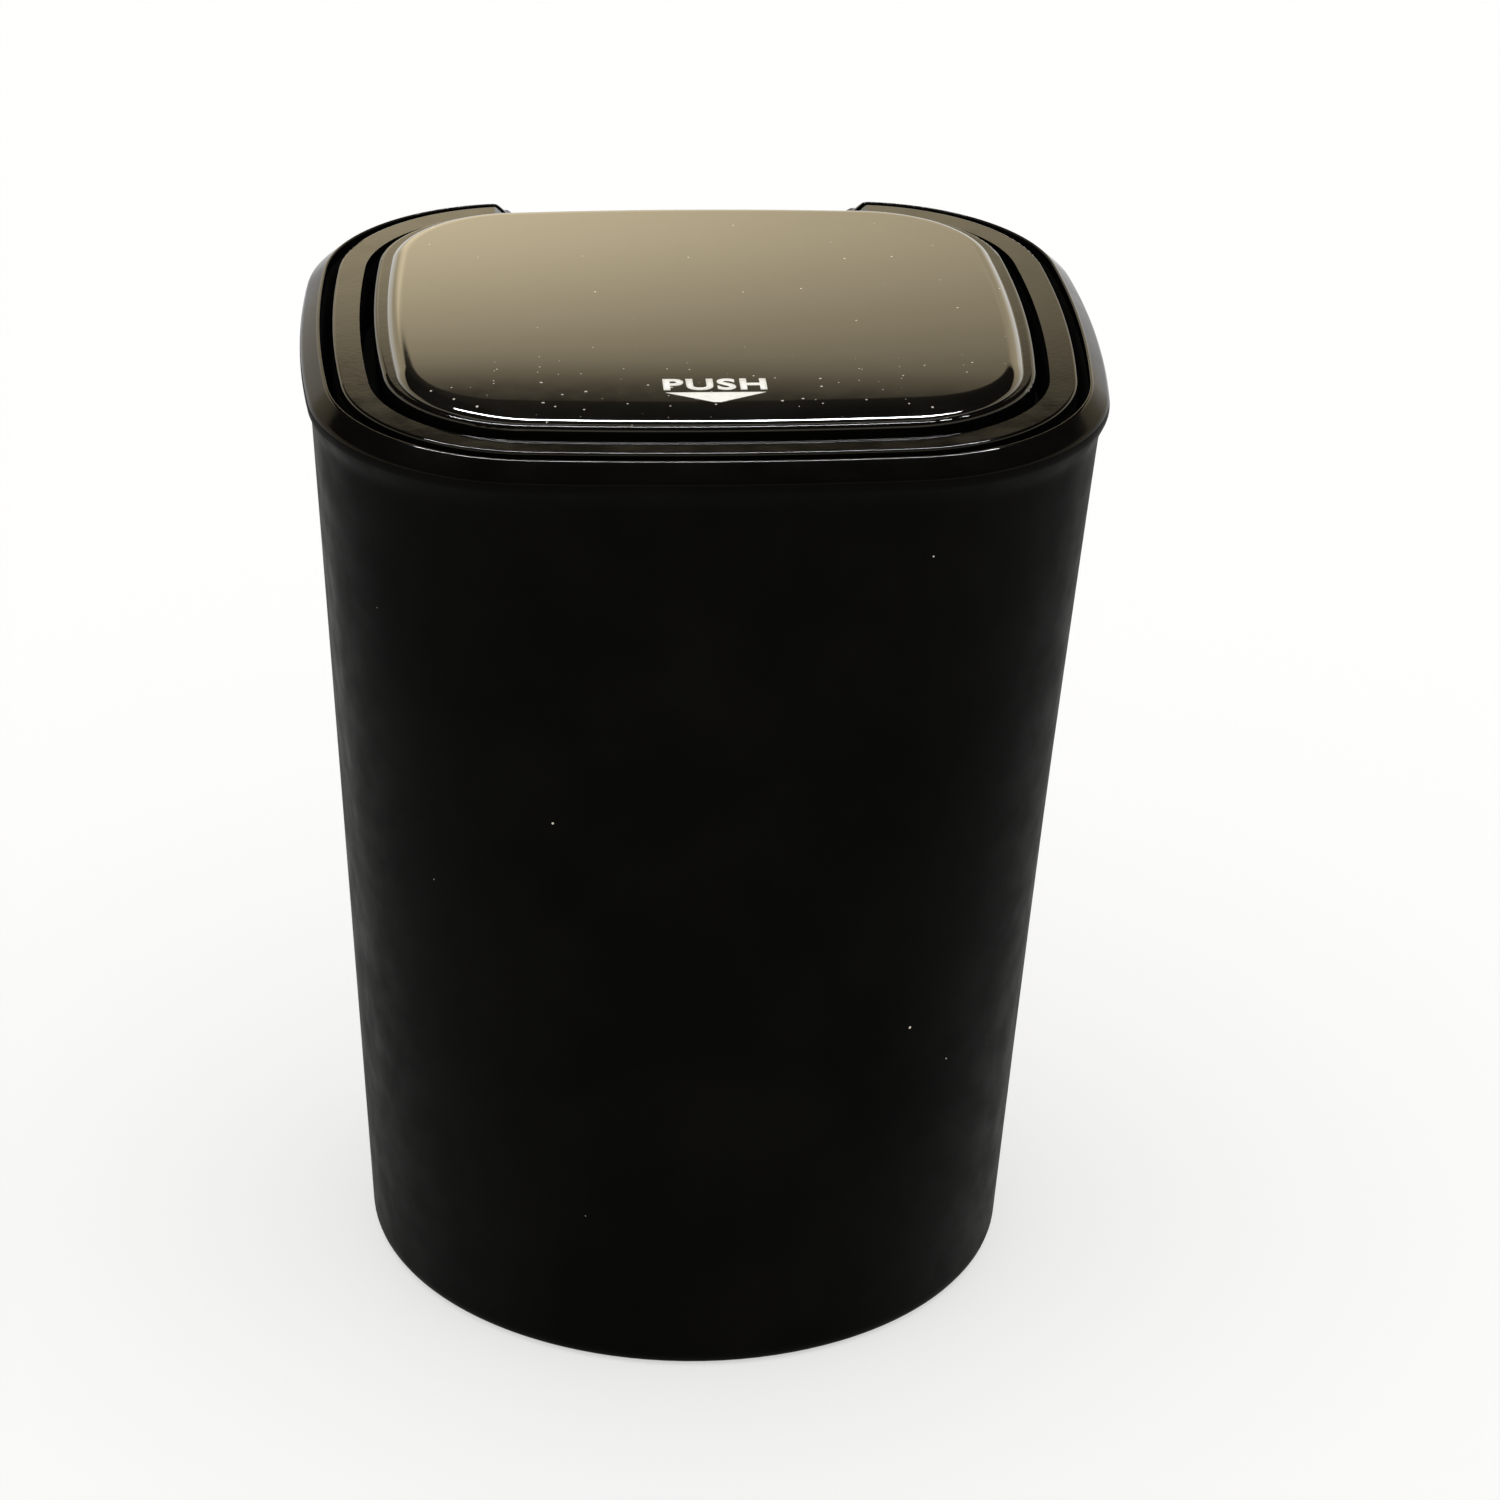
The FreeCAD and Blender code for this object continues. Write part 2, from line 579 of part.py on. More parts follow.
def make_lid_panel():
    """Inner panel of the lid, with the T-shaped striker that the latch holds."""
    body = new_body("lid_panel")
    sheet_low = lip("-panel_drop", "-panel_thick")
    block = new_sketch(body, "panel_block", "XY_Plane", sheet_low)
    add_outline(block, total("lid_inset", "lid_wall", "panel_gap"))
    extrude(body, "Pad", "panel_plate", block, total("panel_thick"))
    tee = new_sketch(body, "panel_striker", "XZ_Plane", LATCH_FRONT)
    stem = total("striker_half")
    head = total("striker_head_half")
    shoulder = lip("-striker_head_drop")
    tip = lip("-striker_head_drop", "-striker_head_high")
    root = lip("-panel_drop", "-striker_head_high")
    add_polygon(tee, [
        (negative(stem), root), (negative(stem), shoulder), (negative(head), shoulder), (negative(head), tip),
        (head, tip), (head, shoulder), (stem, shoulder), (stem, root),
    ])
    extrude(body, "Pad", "panel_tee", tee, total("striker_long"), symmetric=True)
    holes = new_sketch(body, "panel_holes", "XY_Plane", lip("-panel_drop"))
    for x in (SCREW_X, negative(SCREW_X)):
        for y in (SCREW_Y, negative(SCREW_Y)):
            add_circle(holes, x, y, total("screw_shank", "screw_panel_gap"))
    extrude(body, "Pocket", "panel_screw_holes", holes, total("panel_thick"))
    return body


def make_dome_plate():
    """Resin-domed plate: an upright edge, a sloping shoulder and a slow crown."""
    body = new_body("dome_plate")
    add_layers(body, "dome", [
        (("dome_inset", "dome_gap"), ("lid_rise", "-dome_sink")),
        (("dome_inset", "dome_gap"), ("lid_rise", "dome_edge")),
        (("dome_inset", "dome_gap", "dome_shoulder_in"), ("lid_rise", "dome_edge", "dome_shoulder_up")),
        (("dome_inset", "dome_gap", "dome_crown_in"), ("lid_rise", "dome_edge", "dome_crown_up")),
    ])
    return body


def make_hinge_pin():
    """Steel pin across the rear notch, held in the frame on both sides."""
    pin = document.addObject("Part::Cylinder", "hinge_pin")
    pin.Label = "hinge_pin"
    pin.setExpression("Radius", "sheet.pin_radius")
    pin.setExpression("Height", "2 * sheet.pin_half")
    start = FreeCAD.Vector(-SIZES["pin_half"], HINGE_Y[1], HINGE_Z[1])
    pin.Placement = FreeCAD.Placement(start, FreeCAD.Rotation(FreeCAD.Vector(0, 1, 0), 90))
    pin.setExpression("Placement.Base.x", "-sheet.pin_half")
    pin.setExpression("Placement.Base.y", HINGE_Y[0])
    pin.setExpression("Placement.Base.z", HINGE_Z[0])
    return pin


def add_coil(body, name, radius, wire, pitch, turns, left_handed):
    """Coil of round wire about the body's own Z axis, starting on its X axis."""
    ring = new_sketch(body, name + "_wire", "XZ_Plane")
    add_circle(ring, radius, ZERO, wire)
    coil = body.newObject("PartDesign::AdditiveHelix", name)
    coil.Profile = ring
    coil.ReferenceAxis = (ring, ["V_Axis"])
    coil.Mode = "pitch-turns-angle"
    coil.LeftHanded = left_handed
    coil.Pitch = pitch[1]
    coil.Turns = turns[1]
    coil.setExpression("Pitch", pitch[0])
    coil.setExpression("Turns", turns[0])
    document.recompute()
    return coil


def make_hinge_spring():
    """Torsion spring on the pin: one leg under the lid, the other on the frame's rest."""
    body = new_body("hinge_spring")
    radius = total("hinge_coil")
    wire = total("hinge_wire")
    pitch = total("hinge_wire", "hinge_wire", "hinge_coil_gap")
    turns = total("hinge_turns")
    add_coil(body, "hinge_coil_wire", radius, wire, pitch, turns, True)
    upper = new_sketch(body, "hinge_leg_upper", "XZ_Plane")
    add_circle(upper, radius, ZERO, wire)
    extrude(body, "Pad", "hinge_leg_to_lid", upper, total("hinge_leg_lid"), flip=True)
    lower = new_sketch(body, "hinge_leg_lower", "XZ_Plane")
    far = coil_length()
    add_circle(lower, negative(radius), far, wire)
    extrude(body, "Pad", "hinge_leg_to_frame", lower, total("hinge_leg_frame"), flip=True)
    start = -far[1] / 2
    along_pin = FreeCAD.Rotation(
        FreeCAD.Vector(0, 0, 1), FreeCAD.Vector(0, -1, 0), FreeCAD.Vector(1, 0, 0))
    body.Placement = FreeCAD.Placement(FreeCAD.Vector(start, HINGE_Y[1], HINGE_Z[1]), along_pin)
    body.setExpression("Placement.Base.x", "-(%s) / 2" % far[0])
    body.setExpression("Placement.Base.y", HINGE_Y[0])
    body.setExpression("Placement.Base.z", HINGE_Z[0])
    return body


SLIDER_LOW = ("-slider_drop", "-jaw_high", "-jaw_pocket_high", "-slider_base")
SPRING_LOW = SLIDER_LOW + ("slider_bore_deep", "-latch_spring_high")


def make_latch_slider():
    """Latch slider: two jaws over a pocket for the striker's head, and a bore below for the spring."""
    body = new_body("latch_slider")
    block = new_sketch(body, "slider_block", "XY_Plane", lip(*SLIDER_LOW))
    side = total("slider_half")
    near = total(*LATCH, "-slider_front")
    add_rectangle(block, negative(side), side, near, total(*LATCH, "slider_front"))
    extrude(body, "Pad", "slider_bar", block, total("jaw_high", "jaw_pocket_high", "slider_base"))
    tee = new_sketch(body, "slider_slot", "XZ_Plane", LATCH_FRONT)
    mouth = total("jaw_half")
    pocket = total("jaw_pocket_half")
    top = lip("-slider_drop", "jaw_high")
    lips = lip("-slider_drop", "-jaw_high")
    low = lip("-slider_drop", "-jaw_high", "-jaw_pocket_high")
    add_polygon(tee, [
        (negative(mouth), top), (negative(mouth), lips), (negative(pocket), lips), (negative(pocket), low),
        (pocket, low), (pocket, lips), (mouth, lips), (mouth, top),
    ])
    extrude(body, "Pocket", "slider_jaws", tee, double(total("slider_half")), symmetric=True)
    bore = new_sketch(body, "slider_bore", "XY_Plane", lip(*SLIDER_LOW))
    add_circle(bore, ZERO, LATCH_Y, total("slider_bore"))
    extrude(body, "Pocket", "slider_spring_bore", bore, total("slider_bore_deep"), flip=True)
    return body


def make_latch_case():
    """Latch case: an open-topped box hung by its flange in the frame's ledge, with two snap barbs."""
    body = new_body("latch_case")
    side_terms = ("slider_half", "slider_gap", "case_wall")
    deep_terms = ("slider_front", "slider_gap", "case_wall")

    def rectangle(sketch, side, deep):
        near = total(*LATCH, *["-" + term for term in deep])
        add_rectangle(sketch, negative(total(*side)), total(*side), near, total(*LATCH, *deep))
    box = new_sketch(body, "case_box", "XY_Plane", lip(*SPRING_LOW, "-case_floor"))
    rectangle(box, side_terms, deep_terms)
    high = ("slider_drop", "jaw_high", "jaw_pocket_high", "slider_base", "latch_spring_high", "case_floor")
    extrude(body, "Pad", "case_body", box, total(*high, "-slider_bore_deep", "-ledge_drop", "case_flange_high"))
    flange = new_sketch(body, "case_flange_plan", "XY_Plane", lip("-ledge_drop"))
    rectangle(flange, side_terms + ("case_flange",), deep_terms + ("case_flange_front",))
    extrude(body, "Pad", "case_flange", flange, total("case_flange_high"))
    inside = new_sketch(body, "case_inside", "XY_Plane", lip(*SPRING_LOW))
    rectangle(inside, side_terms[:2], deep_terms[:2])
    hollow = total(*high[:-1], "-slider_bore_deep", "-ledge_drop", "case_flange_high")
    extrude(body, "Pocket", "case_hollow", inside, hollow, flip=True)
    barbs = new_sketch(body, "case_barb_plan", "XZ_Plane", LATCH_FRONT)
    top = lip("-ledge_drop", "-ledge_thick", "-case_gap")
    tip = lip("-ledge_drop", "-ledge_thick", "-case_gap", "-case_barb_high")
    root = total("slider_half", "slider_gap", "case_barb")
    corners = [(root, top), (total(*side_terms, "case_barb"), top), (root, tip)]
    add_polygon(barbs, corners)
    add_polygon(barbs, [(negative(x), z) for x, z in corners])
    extrude(body, "Pad", "case_barbs", barbs, double(total("case_barb_half")), symmetric=True)
    return body


def make_latch_spring():
    """Coil spring between the case's floor and the slider's bore."""
    body = new_body("latch_spring")
    pitch = (
        "(sheet.latch_spring_high - 2 * sheet.latch_wire) / sheet.latch_turns",
        (SIZES["latch_spring_high"] - 2 * SIZES["latch_wire"]) / SIZES["latch_turns"],
    )
    add_coil(body, "latch_coil_wire", total("latch_coil"), total("latch_wire"), pitch, total("latch_turns"), False)
    base = lip(*SPRING_LOW, "latch_wire")
    body.Placement = FreeCAD.Placement(FreeCAD.Vector(0, LATCH_Y[1], base[1]), FreeCAD.Rotation())
    body.setExpression("Placement.Base.y", LATCH_Y[0])
    body.setExpression("Placement.Base.z", base[0])
    return body


def make_lid_screw(label, x, y):
    """Pan-head screw from below, through the panel into the lid's boss, with a cross recess."""
    body = new_body(label)
    profile = new_sketch(body, label + "_profile", "XZ_Plane")
    shank = total("screw_shank")
    head = total("screw_head")
    tip = total("panel_thick", "screw_depth")
    low = negative(total("screw_head_high"))
    add_polygon(profile, [(ZERO, low), (head, low), (head, ZERO), (shank, ZERO), (shank, tip), (ZERO, tip)])
    turn(body, label + "_turned", profile)
    cross = new_sketch(body, label + "_cross", "XY_Plane", low)
    long = total("screw_slot_half")
    wide = total("screw_slot_wide")
    add_polygon(cross, [
        (negative(long), negative(wide)), (negative(wide), negative(wide)), (negative(wide), negative(long)),
        (wide, negative(long)), (wide, negative(wide)), (long, negative(wide)), (long, wide), (wide, wide),
        (wide, long), (negative(wide), long), (negative(wide), wide), (negative(long), wide),
    ])
    extrude(body, "Pocket", label + "_recess", cross, total("screw_slot_deep"), flip=True)
    seat = lip("-panel_drop", "-panel_thick")
    body.Placement = FreeCAD.Placement(FreeCAD.Vector(x[1], y[1], seat[1]), FreeCAD.Rotation())
    body.setExpression("Placement.Base.x", x[0])
    body.setExpression("Placement.Base.y", y[0])
    body.setExpression("Placement.Base.z", seat[0])
    return body


def make_bumper(label, x):
    """Rubber stop on the frame's ledge, under the lid's front corner."""
    bumper = document.addObject("Part::Cylinder", label)
    bumper.Label = label
    bumper.setExpression("Radius", "sheet.bumper_radius")
    bumper.setExpression("Height", "sheet.bumper_high")
    y = total("-lip_half_depth", "bumper_front")
    seat = lip("-ledge_drop")
    bumper.Placement = FreeCAD.Placement(FreeCAD.Vector(x[1], y[1], seat[1]), FreeCAD.Rotation())
    bumper.setExpression("Placement.Base.x", x[0])
    bumper.setExpression("Placement.Base.y", y[0])
    bumper.setExpression("Placement.Base.z", seat[0])
    return bumper


def write_pieces(pieces):
    """Check every object of the document and every piece's solid, then write one STEP file per piece."""
    document.recompute()
    for item in document.Objects:
        if "Invalid" in item.State or "Error" in item.State:
            raise ValueError("%s is not valid: %s" % (item.Name, item.State))
    os.makedirs("parts", exist_ok=True)
    for piece in pieces:
        shape = piece.Shape
        if not shape.isValid() or len(shape.Solids) != 1 or shape.Volume <= 0:
            raise ValueError("%s is not one valid solid" % piece.Label)
        shape.exportStep("parts/%s.step" % piece.Label)


BUMPER_X = total("lip_half_width", "-bumper_side")
write_pieces([
    make_bin(),
    make_head_frame(),
    make_lid_shell(),
    make_lid_panel(),
    make_dome_plate(),
    make_hinge_pin(),
    make_hinge_spring(),
    make_latch_case(),
    make_latch_slider(),
    make_latch_spring(),
    make_lid_screw("lid_screw_1", negative(SCREW_X), negative(SCREW_Y)),
    make_lid_screw("lid_screw_2", SCREW_X, negative(SCREW_Y)),
    make_lid_screw("lid_screw_3", negative(SCREW_X), SCREW_Y),
    make_lid_screw("lid_screw_4", SCREW_X, SCREW_Y),
    make_bumper("bumper_left", negative(BUMPER_X)),
    make_bumper("bumper_right", BUMPER_X),
])
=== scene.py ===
import math
import bpy
import numpy as np
from bpy.props import FloatProperty, FloatVectorProperty, PointerProperty, StringProperty
from mathutils import Matrix, Vector


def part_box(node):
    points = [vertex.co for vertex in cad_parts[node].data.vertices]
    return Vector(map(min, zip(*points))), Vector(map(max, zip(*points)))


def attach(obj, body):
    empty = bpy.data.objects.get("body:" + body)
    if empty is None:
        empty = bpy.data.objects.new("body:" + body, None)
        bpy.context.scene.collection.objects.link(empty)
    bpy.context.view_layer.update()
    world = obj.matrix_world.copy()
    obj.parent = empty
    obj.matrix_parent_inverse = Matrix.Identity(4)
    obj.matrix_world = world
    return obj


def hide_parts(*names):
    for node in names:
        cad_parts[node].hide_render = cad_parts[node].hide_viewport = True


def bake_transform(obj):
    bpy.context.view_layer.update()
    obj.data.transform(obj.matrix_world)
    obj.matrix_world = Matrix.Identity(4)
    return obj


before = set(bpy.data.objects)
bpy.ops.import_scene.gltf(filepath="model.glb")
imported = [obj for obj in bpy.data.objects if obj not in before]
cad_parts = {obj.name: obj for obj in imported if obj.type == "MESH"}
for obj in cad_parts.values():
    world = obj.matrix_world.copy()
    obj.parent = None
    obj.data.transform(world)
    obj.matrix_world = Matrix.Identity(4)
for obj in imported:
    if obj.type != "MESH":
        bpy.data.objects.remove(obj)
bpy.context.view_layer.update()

bl_info = {
    "name": "Car ashtray",
    "version": (1, 0, 0),
    "blender": (4, 5, 0),
    "location": "3D View > Sidebar > Ashtray",
    "description": "Moulded bin, resin dome, legend and finishes of a cup-holder ashtray",
    "category": "Object",
}

LIP_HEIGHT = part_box("bin")[1].z
FRAME_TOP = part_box("head_frame")[1].z
LID_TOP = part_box("lid_shell")[1].z
DOME_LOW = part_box("dome_plate")[0].z

# Corners sharper than this stay sharp when a piece is shaded smooth.
SHARP_ANGLE = math.radians(38.0)
# Stations round a quarter of the outline: along its side, corner and front arcs, and closer together in two
# stretches, in radians, before and after the place where the front arc starts.
SIDE_STATIONS, CORNER_STATIONS, FRONT_STATIONS = 9, 40, 10
BEFORE_STATIONS, AFTER_STATIONS = 16, 28
BEFORE_SPAN, AFTER_SPAN = 0.05, 0.0065
STATION_DIGITS = 7
# A hair's breadth that keeps two points apart, a factor just over one that does the same, and the width
# over which two surfaces run into each other.
HAIR = 0.00001
JUST_OVER = 1.001
MELD = 0.0002
# Radius of the innermost ring of the bin's turned faces, and the set-backs of their rounded corners.
HUB = 0.004
FOOT_EDGE = 0.0003
FLOOR_EDGE = 0.0008
# Heights of the rows of the bin's wall, closest under the bead, and of its inside.
WALL_ROWS = np.concatenate([[0.005], np.linspace(0.012, 0.090, 10), np.linspace(0.0925, 0.0995, 19)])
INNER_ROWS = np.linspace(0.095, 0.012, 10)
# The inside's first row under the lip, and its last row and the floor's first one over the floor's slope.
INNER_FIRST = 0.0031
INNER_LAST = 0.001
FLOOR_FIRST = 0.0009
# The bead's profile: its start below the bead, its end under the lip, and how its corners are rounded.
BEAD_START = 0.0003
BEAD_END = 0.0012
BEAD_FOOT_EDGE = 0.00028
BEAD_STEPS = 8
# Rise over run of the steep ends of the rear notch.
NOTCH_STEEPNESS = 8.0
# How much less deep than its root a gusset's toe lies in the wall.
GUSSET_TOE = 0.0001
# The resin's edge: its rounding and the shares of its height that carry a row.
RESIN_ROUND = 0.00004
RESIN_EDGE_ROWS = np.array([0.0, 0.4, 0.85])
RESIN_SHOULDER_ROWS = 46
RESIN_MIDDLE_ROWS = np.linspace(0.95, 0.06, 16)
RESIN_UNDER_ROWS = np.array([0.06, 0.6])
# Depth of the head frame's polish under its top, and the height over which it sets in.
POLISH_DEPTH = 0.0012
POLISH_WIDTH = 0.0001
# The latch's coil: rows along the wire, sides of the wire, and how close the end turns lie.
COIL_ROWS = 181
WIRE_SIDES = 12
END_CLOSENESS = 0.45
# The legend's letters: weight added to the typeface, spacing and steps of a curve. Its film is thicker than
# its lift by a factor, so that it sinks into the resin.
LETTER_WEIGHT = 0.034
LETTER_SPACING = 1.12
LETTER_STEPS = 6
FILM_DEPTH = 1.5
# The arrow's grid and the share of its width that is left at its blunt tip.
ARROW_COLUMNS, ARROW_ROWS = 25, 9
ARROW_TIP = 0.07
NO_TRIANGLES = np.zeros((0, 3), int)
# The floor's grid, where its rings start, and the share of plain white in what is seen of it.
FLOOR_COLUMNS, FLOOR_ROWS = 96, 24
FLOOR_HUB = 0.03
FLOOR_WHITE = 0.55
# The backdrop's upper edge: the heights between which it lies, and brightness against the place between them.
BACKDROP_EDGE = (0.30, 0.42)
BACKDROP_STOPS = (
    (0.0, 1.0), (0.49, 0.98), (0.53, 0.93), (0.635, 0.62), (0.696, 0.42), (0.709, 0.30), (0.722, 0.19),
    (0.74, 0.033), (0.81, 0.02))
# The backdrop's brightest place to the left of the middle, its strength there and where it has faded.
BACKDROP_LEFT = 0.035
BACKDROP_FADE = 0.25
BACKDROP_STRENGTHS = (2.0, 0.85)
# The heights over which the cream of the horizon gives way to the backdrop.
HORIZON_EDGE = (0.14, 0.20)
# The broad overhead light, and the strip that draws the rounded edges: strength, spread, size, place and aim.
OVERHEAD_STRENGTH = 3.05
OVERHEAD_SPREAD = math.radians(110.0)
OVERHEAD_PLACE = (0.0, 0.0, 2.0)
STRIP_POWER = 17.0
STRIP_SIZE = (1.2, 0.035)
STRIP_PLACE = (0.02, 0.18, 1.1)
STRIP_AIM = (0.0, 0.0, 0.10)
# The camera fitted to the photograph: angles in degrees, metres, and pixels of the photograph's frame.
PHOTO_SIDE = 1500.0
CAMERA_ANGLES = (-4.74, 26.53, 1.4)
CAMERA_DISTANCE = 0.58508
CAMERA_FOCAL = 5582.29
CAMERA_OFFSET = (-57.98, -27.55)
CAMERA_AIM = (0.0, 0.0, 0.051275)
CAMERA_CLIP = (0.05, 50.0)
SENSOR_WIDTH = 36.0


def length(name, description, default):
    """Property that holds a length in metres."""
    return FloatProperty(
        name=name, description=description, default=default,
        subtype="DISTANCE", unit="LENGTH", precision=5)


def colour(name, description, default):
    """Property that holds a linear colour."""
    return FloatVectorProperty(
        name=name, description=description, default=default, size=3, subtype="COLOR", min=0.0, max=1.0)


class LipSizes(bpy.types.PropertyGroup):
    """Eight-arc outline of the lip, the highest edge of the bin's rim"""
    half_width: length("Half width", "Half of the outline's width", 0.0384)
    half_depth: length("Half depth", "Half of the outline's depth", 0.0346)
    corner_radius: length("Corner radius", "Radius of the four corner arcs", 0.0203)
    side_radius: length("Side radius", "Radius of the two side arcs", 0.164)
    front_radius: length("Front radius", "Radius of the front and rear arcs", 0.266)


class BinSizes(bpy.types.PropertyGroup):
    """Section of the bin; insets run inwards from the lip's outline"""
    base_radius: length("Base radius", "Radius of the round base", 0.0337)
    base_round: length("Base round", "Radius of the foot's rounded edge", 0.0016)
    base_wall: length("Base wall", "Wall thickness at the base", 0.0018)
    foot_width: length("Foot width", "Width of the foot ring under the base", 0.004)
    foot_recess: length("Foot recess", "Depth of the recess inside the foot ring", 0.0012)
    floor_height: length("Floor height", "Height of the floor inside", 0.003)
    floor_slope: length("Floor slope", "Width and height of the slope round the floor", 0.0025)
    wall_out: length("Wall out", "How far the wall's top stands outside the lip", 0.00125)
    mouth_inset: length("Mouth inset", "How far the mouth lies inside the lip", 0.00015)
    rim_out: length("Rim out", "How far the rim bead stands outside the lip", 0.0019)
    rim_slope: length("Rim slope", "Height of the bead's sloping face", 0.0017)
    rim_height: length("Rim height", "Height of the bead under the lip", 0.0026)
    rim_flare: length("Rim flare", "Height of the flare under the bead", 0.0034)
    flare_out: length("Flare out", "Where the flare starts outside the lip", 0.0003)
    notch_half: length("Notch half", "Half width of the rear notch at its floor", 0.0178)
    notch_drop: length("Notch drop", "Depth of the rear notch under the lip", 0.0024)
    notch_slope: length("Notch slope", "Height of the notch's sloping ends", 0.0018)
    edge_round: length("Edge round", "Set-back of the rounded edges of the bead", 0.0005)
    seat_drop: length("Seat drop", "How far under the lip the gussets carry the head", 0.013)
    gusset_inset: length("Gusset inset", "Inner end of a gusset's top inside the lip's outline", 0.0034)
    gusset_bite: length("Gusset bite", "How far a gusset's root reaches into the wall", 0.0006)
    gusset_height: length("Gusset height", "Height of a gusset", 0.014)
    gusset_thick: length("Gusset thickness", "Thickness of a gusset", 0.002)


class DomeSizes(bpy.types.PropertyGroup):
    """Resin-domed plate on the lid"""
    inset: length("Inset", "Foot of the plate inside the lip's outline", 0.007)
    ahead: length("Ahead", "How far the resin runs over the front of its seat", 0.001)
    aside: length("Aside", "How far the resin runs over the sides of its seat", 0.0002)
    edge: length("Edge", "Height of the upright edge above the lid", 0.00015)
    crown: length("Crown", "Rise from the edge to the level middle", 0.0008)
    shoulder: length("Shoulder", "Width of the rounded shoulder at the front", 0.0038)
    side_shoulder: length("Side shoulder", "Width of the rounded shoulder at the sides and the rear", 0.0018)


class LegendSizes(bpy.types.PropertyGroup):
    """Operating word and arrow at the front of the lid"""
    word: StringProperty(name="Word", description="Word over the arrow", default="PUSH")
    word_width: length("Word width", "Width of the word", 0.0101)
    word_height: length("Word height", "Height of the word", 0.0028)
    word_rear: length("Word rear", "Rear edge of the word in front of the middle", 0.0193)
    arrow_width: length("Arrow width", "Width of the arrow", 0.0098)
    arrow_depth: length("Arrow depth", "Length of the arrow", 0.0024)
    arrow_rear: length("Arrow rear", "Rear edge of the arrow in front of the middle", 0.0227)
    thickness: length("Thickness", "Thickness of the print", 0.00003)


class SpringSizes(bpy.types.PropertyGroup):
    """Coil spring under the latch's slider"""
    coil_radius: length("Coil radius", "Radius of the coil to the middle of its wire", 0.0019)
    wire_radius: length("Wire radius", "Radius of the wire", 0.00025)
    turns: FloatProperty(name="Turns", description="Number of turns", default=5.0, min=1.0)


class Finishes(bpy.types.PropertyGroup):
    """Colours of the mouldings, the print and the metal"""
    black: colour("Black", "Colour of the black mouldings", (0.0020, 0.0019, 0.0018))
    film: colour("Film", "Colour under the clear resin", (0.0030, 0.0029, 0.0027))
    dust: colour("Dust", "Colour of dust specks", (0.62, 0.58, 0.52))
    print_white: colour("Print", "Colour of the printed legend", (0.93, 0.925, 0.90))
    zinc: colour("Zinc", "Colour of zinc-plated steel", (0.55, 0.55, 0.54))
    wire: colour("Wire", "Colour of drawn spring wire", (0.42, 0.41, 0.40))
    acetal: colour("Acetal", "Colour of the latch slider", (0.70, 0.69, 0.64))
    rubber: colour("Rubber", "Colour of the rubber stops", (0.018, 0.018, 0.017))


class StageSizes(bpy.types.PropertyGroup):
    """Floor, light and camera"""
    floor_radius: length("Floor radius", "Radius of the pale floor", 6.0)
    backdrop: colour("Backdrop", "Colour of the backdrop above the horizon", (1.0, 0.84, 0.55))
    horizon: colour("Horizon", "Colour of the pale surroundings near the horizon", (1.0, 0.92, 0.77))
    floor: colour("Floor", "Colour of the floor", (0.91, 0.92, 0.93))


def corner_arc(lip):
    """Centre of the corner arc and the directions where it starts and ends.

    The centre lies side radius less corner radius from the side arc's centre, and front radius less
    corner radius from the front arc's centre: the crossing of two circles.
    """
    side_x = lip.half_width - lip.side_radius
    front_y = lip.half_depth - lip.front_radius
    reach = math.hypot(side_x, front_y)
    near = lip.side_radius - lip.corner_radius
    far = lip.front_radius - lip.corner_radius
    along = (near ** 2 - far ** 2 + reach ** 2) / (2 * reach)
    across = math.sqrt(near ** 2 - along ** 2)
    x = side_x - along * side_x / reach - across * front_y / reach
    y = along * front_y / reach - across * side_x / reach
    return x, y, math.atan2(y, x - side_x), math.atan2(y - front_y, x)


def stations(lip):
    """Outward directions round the outline, closer together where the front and rear arcs end.

    One quarter runs along its side, corner and front arcs, and is mirrored into the other three.
    """
    turn, end = corner_arc(lip)[2:]
    quarter = np.concatenate([
        np.linspace(0.0, turn, SIDE_STATIONS), np.linspace(turn, end, CORNER_STATIONS),
        np.linspace(end, math.pi / 2, FRONT_STATIONS),
        np.linspace(end - BEFORE_SPAN, end, BEFORE_STATIONS),
        np.linspace(end, end + AFTER_SPAN, AFTER_STATIONS)])
    whole = np.concatenate([quarter, math.pi - quarter, math.pi + quarter, 2 * math.pi - quarter])
    return np.unique(np.round(np.mod(whole, 2 * math.pi), STATION_DIGITS))


def outline(lip, inset, angle):
    """Points of the lip's outline moved inwards, one for each inset and outward direction.

    An offset keeps each arc's centre and shortens its radius: centre + (radius - inset) * direction.
    """
    corner_x, corner_y, turn, end = corner_arc(lip)
    cosine, sine = np.cos(angle), np.sin(angle)
    folded = np.arctan2(np.abs(sine), np.abs(cosine))
    side, front = folded < turn, folded > end
    centre_x = np.where(side, lip.half_width - lip.side_radius, np.where(front, 0.0, corner_x))
    centre_y = np.where(side, 0.0, np.where(front, lip.half_depth - lip.front_radius, corner_y))
    radius = np.where(side, lip.side_radius, np.where(front, lip.front_radius, lip.corner_radius))
    span = radius - np.asarray(inset)[..., None]
    x = np.sign(cosine) * centre_x + span * cosine
    y = np.sign(sine) * centre_y + span * sine
    return np.stack([x, y], -1)


